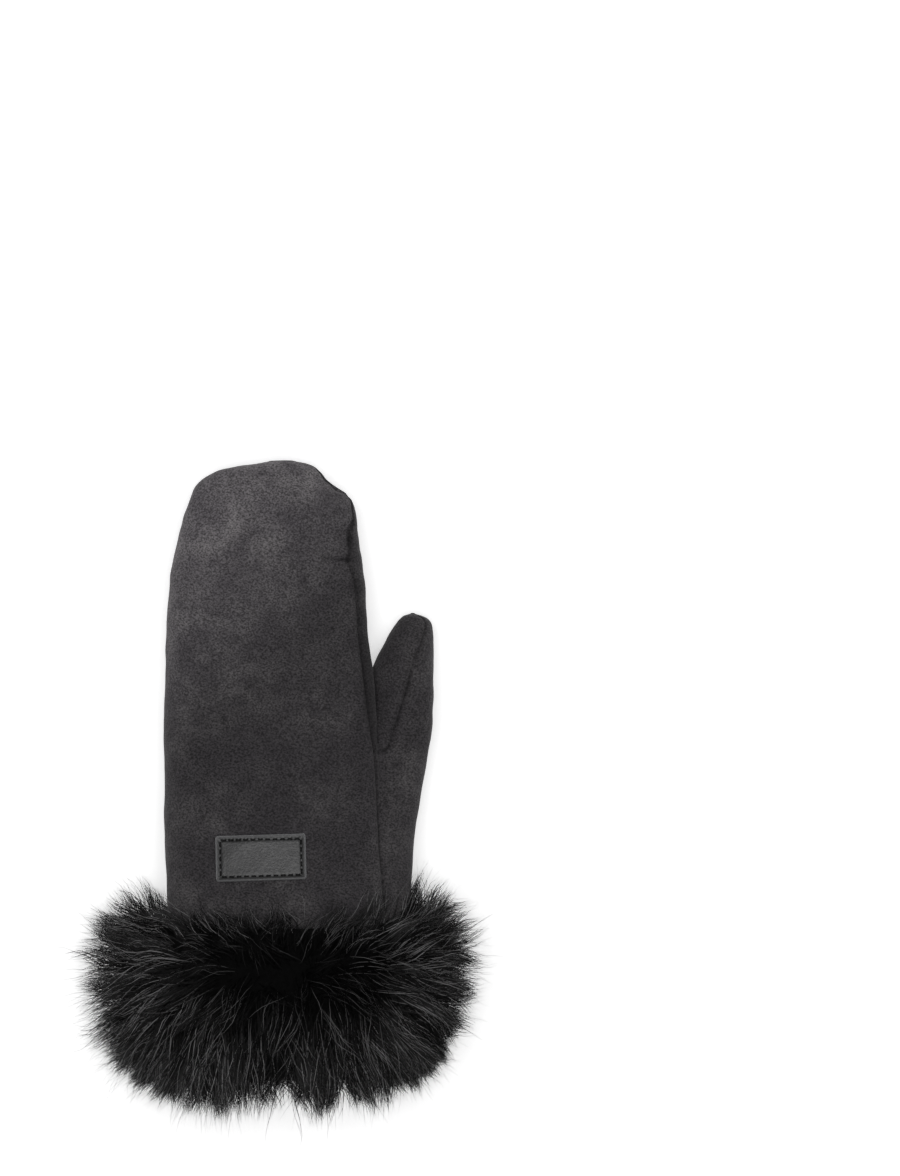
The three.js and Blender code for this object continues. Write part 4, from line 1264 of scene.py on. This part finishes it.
def strand_tree():
    """Each point becomes a strand: straight by its aim, bent by its fall and waved round in a slow curl."""
    sizes = {"Strand Radius": 0.3 * MM, "Segments": 6, "Floor": 0.4 * MM}
    tree, given = new_tree("hair_strands", sizes)
    line = add_node(tree, "GeometryNodeCurvePrimitiveLine")
    steps = add_node(tree, MATH, {0: given["Segments"], 1: 1.0}, operation="ADD")
    guide = add_node(tree, "GeometryNodeResampleCurve", {"Curve": line, "Count": steps})
    sown = add_node(tree, "GeometryNodeInstanceOnPoints", {"Points": given["Points"], "Instance": guide})
    real = add_node(tree, "GeometryNodeRealizeInstances", {"Geometry": sown})
    own = {}
    for kind, names in {"FLOAT_VECTOR": "root aim fall wave swing", "FLOAT": "turns phase body"}.items():
        for name in names.split():
            own[name] = add_node(tree, NAMED, {"Name": name}, "Attribute", data_type=kind)
    along = add_node(tree, "GeometryNodeSplineParameter")
    angle = {0: along, 1: own["turns"], 2: own["phase"]}
    angle = add_node(tree, MATH, angle, operation="MULTIPLY_ADD")
    sideways = add_node(tree, MATH, {0: angle}, operation="SINE")
    upwards = add_node(tree, MATH, {0: angle}, operation="COSINE")
    place = own["root"]
    for name, growth in {"aim": None, "fall": along, "wave": sideways, "swing": upwards}.items():
        share = along
        if growth is not None:
            share = add_node(tree, MATH, {0: growth, 1: along}, operation="MULTIPLY")
        way = add_node(tree, VECTOR_MATH, {0: own[name], "Scale": share}, operation="SCALE")
        place = add_node(tree, VECTOR_MATH, {0: place, 1: way}, operation="ADD")
    parts = add_node(tree, "ShaderNodeSeparateXYZ", {0: place}, None)
    above_floor = add_node(tree, MATH, {0: parts["Z"], 1: given["Floor"]}, operation="MAXIMUM")
    kept = add_node(tree, "ShaderNodeCombineXYZ", {"X": parts["X"], "Y": parts["Y"], "Z": above_floor})
    laid = add_node(tree, "GeometryNodeSetPosition", {"Geometry": real, "Position": kept})
    mark = {"Geometry": laid, "Name": "tip", "Value": along}
    marked = add_node(tree, "GeometryNodeStoreNamedAttribute", mark, data_type="FLOAT", domain="POINT")
    thinning = add_node(tree, MATH, {0: along, 1: 2.4}, operation="POWER")
    thinning = add_node(tree, MATH, {0: 1.05, 1: thinning}, operation="SUBTRACT")
    width = add_node(tree, MATH, {0: thinning, 1: own["body"]}, operation="MULTIPLY")
    return finished_tree(tree, tube(tree, marked, 3, given["Strand Radius"], width), given["Material"])


def stitch_tree():
    """Each point becomes a stitch: a short thread along its heading, whose ends dip into the leather."""
    sizes = {"Stitch Length": 2.6 * MM, "Thread Radius": 0.3 * MM, "Dip": 0.4 * MM}
    tree, given = new_tree("thread_stitches", sizes)
    ends = {}
    for name, share in {"Start": -0.5, "End": 0.5}.items():
        reach = add_node(tree, MATH, {0: given["Stitch Length"], 1: share}, operation="MULTIPLY")
        ends[name] = add_node(tree, "ShaderNodeCombineXYZ", {"X": reach})
    line = add_node(tree, "GeometryNodeCurvePrimitiveLine", ends)
    thread = add_node(tree, "GeometryNodeResampleCurve", {"Curve": line, "Count": 9})
    along = add_node(tree, "GeometryNodeSplineParameter")
    off_middle = add_node(tree, MATH, {0: along, 1: 2.0, 2: -1.0}, operation="MULTIPLY_ADD")
    off_middle = add_node(tree, MATH, {0: off_middle}, operation="ABSOLUTE")
    sinking = add_node(tree, MATH, {0: off_middle, 1: 2.6}, operation="POWER")
    sunk = add_node(tree, MATH, {0: sinking, 1: given["Dip"]}, operation="MULTIPLY")
    shift = add_node(tree, MATH, {0: sunk, 1: -1.0}, operation="MULTIPLY")
    shift = add_node(tree, "ShaderNodeCombineXYZ", {"Z": shift})
    bent = add_node(tree, "GeometryNodeSetPosition", {"Geometry": thread, "Offset": shift})
    narrowing = add_node(tree, MATH, {0: off_middle, 1: 5.0}, operation="POWER")
    narrowing = add_node(tree, MATH, {0: narrowing, 1: 0.45}, operation="MULTIPLY")
    slim = add_node(tree, MATH, {0: 1.0, 1: narrowing}, operation="SUBTRACT")
    stitch = tube(tree, bent, 8, given["Thread Radius"], slim)
    heading = add_node(tree, NAMED, {"Name": "heading"}, "Attribute", data_type="FLOAT_VECTOR")
    turn = add_node(tree, "FunctionNodeAlignRotationToVector", {"Vector": heading}, axis="X")
    sown = {"Points": given["Points"], "Instance": stitch, "Rotation": turn}
    return finished_tree(tree, add_node(tree, "GeometryNodeInstanceOnPoints", sown), given["Material"])


def grown(tree, points, attributes, sizes):
    """The plain mesh that a geometry tree makes from points with attributes, at the given sizes."""
    mesh = bpy.data.meshes.new("points")
    mesh.from_pydata(points.tolist(), [], [])
    for name, values in attributes.items():
        store(mesh, name, values)
    source = put("points", mesh)
    modifier = source.modifiers.new("growth", "NODES")
    modifier.node_group = tree
    for item in tree.interface.items_tree:
        if item.in_out == "INPUT" and item.name in sizes:
            modifier[item.identifier] = sizes[item.name]
    graph = bpy.context.evaluated_depsgraph_get()
    result = bpy.data.meshes.new_from_object(source.evaluated_get(graph))
    source.modifiers.remove(modifier)
    bpy.data.objects.remove(source)
    return result


class MITTEN_OT_stitches(bpy.types.Operator):
    """Sews the patch on with a row of stitches"""

    bl_idname = "mitten.stitches"
    bl_label = "Stitches"

    def execute(self, context):
        form = context.scene.mitten_form
        patch = context.scene.mitten_patch
        middles, headings = stitch_line(patch)
        x, y = on_mitten(patch, middles[:, 0], middles[:, 1])
        ahead = on_mitten(patch, *(middles + headings * MM).T)
        level = back_height(form, x, y)
        heading = np.stack([ahead[0] - x, ahead[1] - y, back_height(form, *ahead) - level], axis=1)
        sits = level + form.seam_gap + patch.thickness - STITCH_SUNK
        sizes = {
            "Stitch Length": patch.stitch_pitch * patch.stitch_share,
            "Thread Radius": patch.thread_radius,
            "Dip": patch.stitch_dip,
            "Material": finish(waxed_thread),
        }
        mesh = grown(stitch_tree(), np.stack([x, y, sits], axis=1), {"heading": heading / MM}, sizes)
        place_piece("patch_stitches", mesh, (waxed_thread,), "patch_leather")
        return {"FINISHED"}


def wrist_section(form, y):
    """The wrist's section, on which the cuff goes on from the hand at the same size."""
    section = dict(hand_section(form, np.zeros(1)))
    thumb = thumb_section(form, np.zeros(1))
    section["right"] = np.maximum(section["right"], thumb["right"])
    section["y"] = y
    return section


def cuff_place(form, fur, angle, along, out=0.0):
    """Places on the cuff: round the wrist by an angle, along the hide, and out from it by a length."""
    section = wrist_section(form, HAND_LOW[1] - along * fur.cuff_length)
    return on_section(section, angle) + outwards(angle) * np.asarray(out)[..., None]


def outwards(angle, upright=1.25):
    """Straight out from the wrist at angles."""
    way = np.stack([np.cos(angle), 0 * angle, np.sin(angle) * upright], axis=-1)
    return way / np.linalg.norm(way, axis=-1, keepdims=True)


def lie(column, angle):
    """A column of the table of how the hair lies, at angles in radians."""
    return read(FUR_LIE, "angle", column, np.degrees(angle) % 360)


def stand(column, along):
    """A column of the table of how the hair stands, at shares of the cuff's length."""
    return read(FUR_STAND, "along", column, along)


def fur_length(fur, angle, along):
    """The hair's length round the wrist and along the hide, trimmed towards the wrist's two corners."""
    corner = np.cos(angle) ** 2 * np.clip(along, 0, 1) ** 2
    return fur.hair_length * lie("reach", angle) * (1 - CORNER_TRIM * corner)


def hide_mesh(form, fur):
    """The cuff's hide: a tube that is open at both ends, with soft rims."""
    steps = np.arange(RIM_STEPS) / (RIM_STEPS - 1)
    half = form.wall / 2 / fur.cuff_length
    gap = form.seam_gap / fur.cuff_length
    outline = []
    for turn in math.pi * (steps - 0.5):
        outline.append((1 - half * (1 - math.cos(turn)), math.sin(turn)))
    for turn in math.pi * (0.5 + steps):
        outline.append((gap + half * (1 + math.cos(turn)), math.sin(turn)))
    angle = np.linspace(0, 2 * math.pi, HIDE_COLUMNS, endpoint=False)
    rings = []
    for along, out in outline:
        section = wrist_section(form, HAND_LOW[1] - along * fur.cuff_length + 0 * angle)
        rings.append(on_section(section, angle, form.wall / 2 * (1 - out)))
    return ring_loft("hide", np.array(rings))


def ring_loft(name, rings):
    """A closed ring: each outline joins the next, and the last joins the first."""
    return mesh_from(name, rings.reshape(-1, 3), bands(rings, closed=True))


def underfur_mesh(form, fur):
    """The dense wool under the long hair, in lumps where the locks are rooted."""
    rng = np.random.default_rng(fur.seed)
    columns, rows = UNDERFUR_GRID
    count = len(UNDERFUR["along"])
    index = np.linspace(0, count, rows, endpoint=False)
    along, out = (np.interp(index, np.arange(count + 1), np.append(v, v[0])) for v in UNDERFUR.values())
    angle = np.linspace(0, 2 * math.pi, columns, endpoint=False)
    rings = []
    for k in range(rows):
        length = out[k] * fur_length(fur, angle, along[k])
        swept = along[k] + lie("swept", angle) * out[k]
        rings.append(cuff_place(form, fur, angle, swept, length))
    rings = np.array(rings)
    flat = rings.reshape(-1, 3)
    lumps = LUMPS[0] * waves(flat, LUMPS[1], rng) * np.repeat(np.clip(out / 0.2, 0, 1), columns)
    flat += outwards(np.tile(angle, rows)) * lumps[:, None]
    past_wrist = np.repeat(np.clip((along - RIM_FROM) / 0.3, 0, 1), columns)
    flat[:, 1] += RAGGED[0] * waves(flat, RAGGED[1], rng) * past_wrist
    flat[:, 2] = np.maximum(flat[:, 2], THINNEST)
    return ring_loft("underfur", flat.reshape(rings.shape))


def clump_plan(form, fur, rng):
    """Where the locks are rooted, and which way and how far each goes."""
    rows, columns = LOCK_GRID
    row, column = (grid.ravel() for grid in np.meshgrid(np.arange(rows), np.arange(columns), indexing="ij"))
    count = rows * columns
    along = (row + rng.uniform(*LOCK_ALONG, count)) / rows
    angle = (column + 0.5 * (row % 2) + rng.uniform(*LOCK_AROUND, count)) * 2 * math.pi / columns
    angle = angle % (2 * math.pi)
    lean = mix(stand("beside", along), stand("under", along), np.sin(angle) ** 2)
    lean = np.radians(lean + rng.normal(0, LEAN_SPREAD, count))
    length = stand("length", along) * fur_length(fur, angle, along)
    length = length * mix(lie("fringe", angle), 1, np.clip(along / FRINGE_ALONG, 0, 1))
    length = length * rng.uniform(*LOCK_LENGTHS, count)
    heading = angle + rng.normal(0, HEADING_SPREAD, count)
    straight = outwards(heading, LOCK_UPRIGHT) * np.cos(lean)[:, None]
    straight[:, 1] = -np.sin(lean) - lie("swept", angle) * LOCK_SWEPT
    straight[:, 0] += rng.normal(0, ASIDE_SPREAD, count)
    on_top = np.clip(np.sin(angle) * 1.5, 0, 1)[:, None]
    straight = unit(mix(unit(straight), combed(form, fur, angle, along, rng), on_top))
    to_wrist, more, down = LOCK_FALL
    fall = np.stack([np.zeros(count), to_wrist + more * along, np.full(count, down)], axis=1)
    return {
        "angle": angle,
        "along": along,
        "straight": straight * length[:, None],
        "fall": fall * length[:, None],
        "phase": rng.uniform(0, 2 * math.pi, count),
        "turns": rng.uniform(*LOCK_TURNS, count),
        "side": unit(rng.normal(size=(count, 3))),
        "bed": bed_height(fur, angle, along),
        "dense": lie("dense", angle) * stand("crowd", along),
        "tone": rng.uniform(0, 1, count),
    }


def bed_height(fur, angle, along):
    """How far above the hide the strands come out of the underfur."""
    return stand("bed", along) * fur_length(fur, angle, along)


def from_parting(form, fur, angle, along):
    """The way from the parting to places on the cuff, as seen from above."""
    share, away = off_line(cuff_place(form, fur, angle, along)[:, :2], PARTING)
    away[:, 0] += (share - 0.5) * PARTING_WIDTH
    return away


def lit(form, fur, angle, along):
    """How bright the hair's colour is at places: a painted shade about the parting on top, and full colour
    elsewhere.
    """
    distance = np.linalg.norm(from_parting(form, fur, angle, along), axis=1)
    return np.where(np.sin(angle) > 0, np.clip(distance / PARTING_SHADE, 0, 1) ** 1.2, 1)


def combed(form, fur, angle, along, rng):
    """The heading of the hair on top, which is combed out from its parting on all sides."""
    away = from_parting(form, fur, angle, along)
    away[:, 1] += rng.normal(0, 0.15 * PARTING_WIDTH, len(angle))
    distance = np.linalg.norm(away, axis=1)
    plan = np.arctan2(away[:, 1], away[:, 0]) + rng.normal(0, HEADING_SPREAD, len(angle))
    lying = np.clip(distance / PARTING_WIDTH, 0, 1)
    tilt = mix(PARTED_TILT, COMBED_TILT, lying) + rng.normal(0, TILT_SPREAD, len(angle))
    tilt += RIM_TURN * np.clip((along - RIM_FROM) / (1 - RIM_FROM), 0, 1)
    return np.stack([np.cos(plan) * np.sin(tilt), np.sin(plan) * np.sin(tilt), np.cos(tilt)], axis=1)


def unit(vectors):
    """Vectors at length 1."""
    return vectors / np.linalg.norm(vectors, axis=1, keepdims=True)


def strand_plan(form, fur):
    """The points of all the strands, with the attributes that shape them."""
    rng = np.random.default_rng(fur.seed)
    clumps = clump_plan(form, fur, rng)
    count = fur.strands
    owner = rng.choice(len(clumps["dense"]), count, p=clumps["dense"] / clumps["dense"].sum())
    own = {key: value[owner] for key, value in clumps.items()}
    # a painted shade about the parting, which also thins the strays and the curl there
    brightness = lit(form, fur, own["angle"], own["along"])
    stray = rng.uniform(0, 1, count) < mix(*STRAY_SHARE, brightness)
    kind = {key: np.where(stray, STRAY[key], IN_LOCK[key]) for key in STRAY}
    angle = own["angle"] + rng.normal(0, ROOT_SPREAD[0] / WRIST_RADIUS, count)
    along = np.clip(own["along"] + rng.normal(0, ROOT_SPREAD[1] / fur.cuff_length, count), -0.01, 1.0)
    shift = lie("swept", angle) * stand("bed", along)
    root = cuff_place(form, fur, angle, along + shift, bed_height(fur, angle, along) - ROOT_SUNK)
    centre = cuff_place(form, fur, own["angle"], own["along"], own["bed"])
    reach = rng.uniform(*STRAND_RANGES["length"], count) + kind["longer"]
    scatter = rng.normal(0, 1, (count, 3)) * kind["scatter"][:, None]
    tip = centre + own["straight"] * reach[:, None] + (root - centre) * kind["apart"][:, None] + scatter
    fall = own["fall"] * rng.uniform(*STRAND_RANGES["fall"], count)[:, None]
    size = kind["curl"] * rng.uniform(*STRAND_RANGES["curl"], count) * fur.curl * mix(0.5, 1, brightness)
    # the bright strands get a lighter tone, a painted highlight
    bright = rng.uniform(0, 1, count) < BRIGHT_SHARE
    dark = DARK_TONE * own["tone"]
    across = unit(np.cross(own["straight"], own["side"]))
    upward = unit(np.cross(own["straight"], across))
    return {
        "root": root,
        "aim": tip - root,
        "fall": fall,
        "wave": across * size[:, None],
        "swing": upward * size[:, None] * CURL_FLAT,
        "turns": own["turns"] + rng.normal(0, CURL_SPREAD, count),
        "phase": own["phase"] + rng.normal(0, CURL_SPREAD, count),
        "body": rng.uniform(*STRAND_RANGES["width"], count) * kind["width"],
        "tone": brightness * np.where(bright, rng.uniform(*STRAND_RANGES["tone"], count), dark),
        "angle": angle % (2 * math.pi),
    }


class MITTEN_OT_cuff(bpy.types.Operator):
    """Builds the cuff's hide and the dense wool on it"""

    bl_idname = "mitten.cuff"
    bl_label = "Cuff hide and underfur"

    def execute(self, context):
        form = context.scene.mitten_form
        fur = context.scene.mitten_fur
        place_piece("cuff_hide", hide_mesh(form, fur), (clipped_wool_pile,), "fur", "fur_cuff")
        place_piece("underfur", underfur_mesh(form, fur), (dense_underfur,), "fur", "fur_cuff")
        return {"FINISHED"}


class MITTEN_OT_hair(bpy.types.Operator):
    """Grows the long hair of the cuff, a quarter of the wrist at a time"""

    bl_idname = "mitten.hair"
    bl_label = "Long hair"

    def execute(self, context):
        fur = context.scene.mitten_fur
        plan = strand_plan(context.scene.mitten_form, fur)
        tree = strand_tree()
        order = np.argsort(plan.pop("angle"), kind="stable")
        sizes = {"Strand Radius": fur.hair_radius, "Material": finish(long_dyed_hair)}
        names = ("right", "top", "left", "under")
        for name, part in zip(names, np.array_split(order, len(names))):
            attributes = {key: values[part] for key, values in plan.items()}
            mesh = grown(tree, attributes["root"], attributes, sizes)
            place_piece(f"hair_{name}", mesh, (long_dyed_hair,), "fur", "fur_cuff")
        return {"FINISHED"}


PIXEL = 0.45 * MM  # one pixel of the photograph on the mitten
PICTURE = (900, 1176)
ORIGIN = (277, 797)  # the pixel over the frame's origin
CAMERA_HEIGHT = 2.2
BACK_LEVEL = 30 * MM  # the height at which a pixel has that size
FLOOR_LEVEL = -0.2 * MM
FLOOR_HALF = 3.0
LIT_PLACE = (0.0, 0.02, 0.0)  # where the lamps aim
LAMPS = {
    "key": ((-0.75, 0.75, 0.75), 26, 0.35),
    "kicker": ((0.8, -1.0, 0.9), 5, 0.3),
    "overhead": ((0.0, 0.2, 2.6), 42, 2.0),
}


class MITTEN_OT_stage(bpy.types.Operator):
    """Sets up the pale floor, the soft light and the camera straight above"""

    bl_idname = "mitten.stage"
    bl_label = "Stage"

    def execute(self, context):
        scene = context.scene
        mesh = bpy.data.meshes.new("floor")
        corners = [(x * FLOOR_HALF, y * FLOOR_HALF, FLOOR_LEVEL) for x, y in SQUARE]
        mesh.from_pydata(corners, [], [(0, 1, 2, 3)])
        mesh.materials.append(finish(white_paper))
        floor = put("floor", mesh)
        for name, (place, watts, width) in LAMPS.items():
            lamp = bpy.data.lights.new(name, "AREA")
            lamp.energy = watts
            lamp.size = width
            light = put(name, lamp)
            light.location = place
            aim = np.array(LIT_PLACE) - np.array(place)
            light.rotation_euler = (math.acos(-aim[2] / np.linalg.norm(aim)), 0, math.atan2(aim[0], -aim[1]))
        world = bpy.data.worlds.new("studio")
        world.use_nodes = True
        background = world.node_tree.nodes["Background"].inputs
        background["Color"].default_value = linear("#ffffff")
        background["Strength"].default_value = 0.3
        scene.world = world
        scene.view_settings.view_transform = "Standard"
        lens = bpy.data.cameras.new("camera")
        lens.sensor_fit = "VERTICAL"
        lens.sensor_height = 24
        lens.lens = lens.sensor_height * (CAMERA_HEIGHT - BACK_LEVEL) / (PICTURE[1] * PIXEL)
        camera = put("camera", lens)
        x = (PICTURE[0] / 2 - ORIGIN[0]) * PIXEL
        y = (ORIGIN[1] - PICTURE[1] / 2) * PIXEL
        camera.location = (x, y, CAMERA_HEIGHT)
        scene.camera = camera
        return {"FINISHED"}


class MITTEN_PT_panel(bpy.types.Panel):
    """Lists the mitten's pieces and sizes"""

    bl_idname = "MITTEN_PT_panel"
    bl_label = "Sheepskin mitten"
    bl_space_type = "VIEW_3D"
    bl_region_type = "UI"
    bl_category = "Mitten"

    def draw(self, context):
        for operator in OPERATORS:
            self.layout.operator(operator.bl_idname)
        for group in (context.scene.mitten_form, context.scene.mitten_fur, context.scene.mitten_patch):
            column = self.layout.column(align=True)
            for name in group.bl_rna.properties.keys():
                if name not in ("name", "rna_type"):
                    column.prop(group, name)


GROUPS = {"mitten_form": MittenForm, "mitten_fur": MittenFur, "mitten_patch": MittenPatch}
OPERATORS = (
    MITTEN_OT_suede,
    MITTEN_OT_patch,
    MITTEN_OT_stitches,
    MITTEN_OT_cuff,
    MITTEN_OT_hair,
    MITTEN_OT_stage,
)


def register():
    for name, group in GROUPS.items():
        bpy.utils.register_class(group)
        setattr(bpy.types.Scene, name, bpy.props.PointerProperty(type=group))
    for kind in (*OPERATORS, MITTEN_PT_panel):
        bpy.utils.register_class(kind)


def unregister():
    for kind in reversed((*OPERATORS, MITTEN_PT_panel)):
        bpy.utils.unregister_class(kind)
    for name, group in reversed(GROUPS.items()):
        delattr(bpy.types.Scene, name)
        bpy.utils.unregister_class(group)


def main():
    """Builds every piece in order."""
    register()
    for operator in OPERATORS:
        group, name = operator.bl_idname.split(".")
        getattr(getattr(bpy.ops, group), name)()


if __name__ == "__main__":
    main()
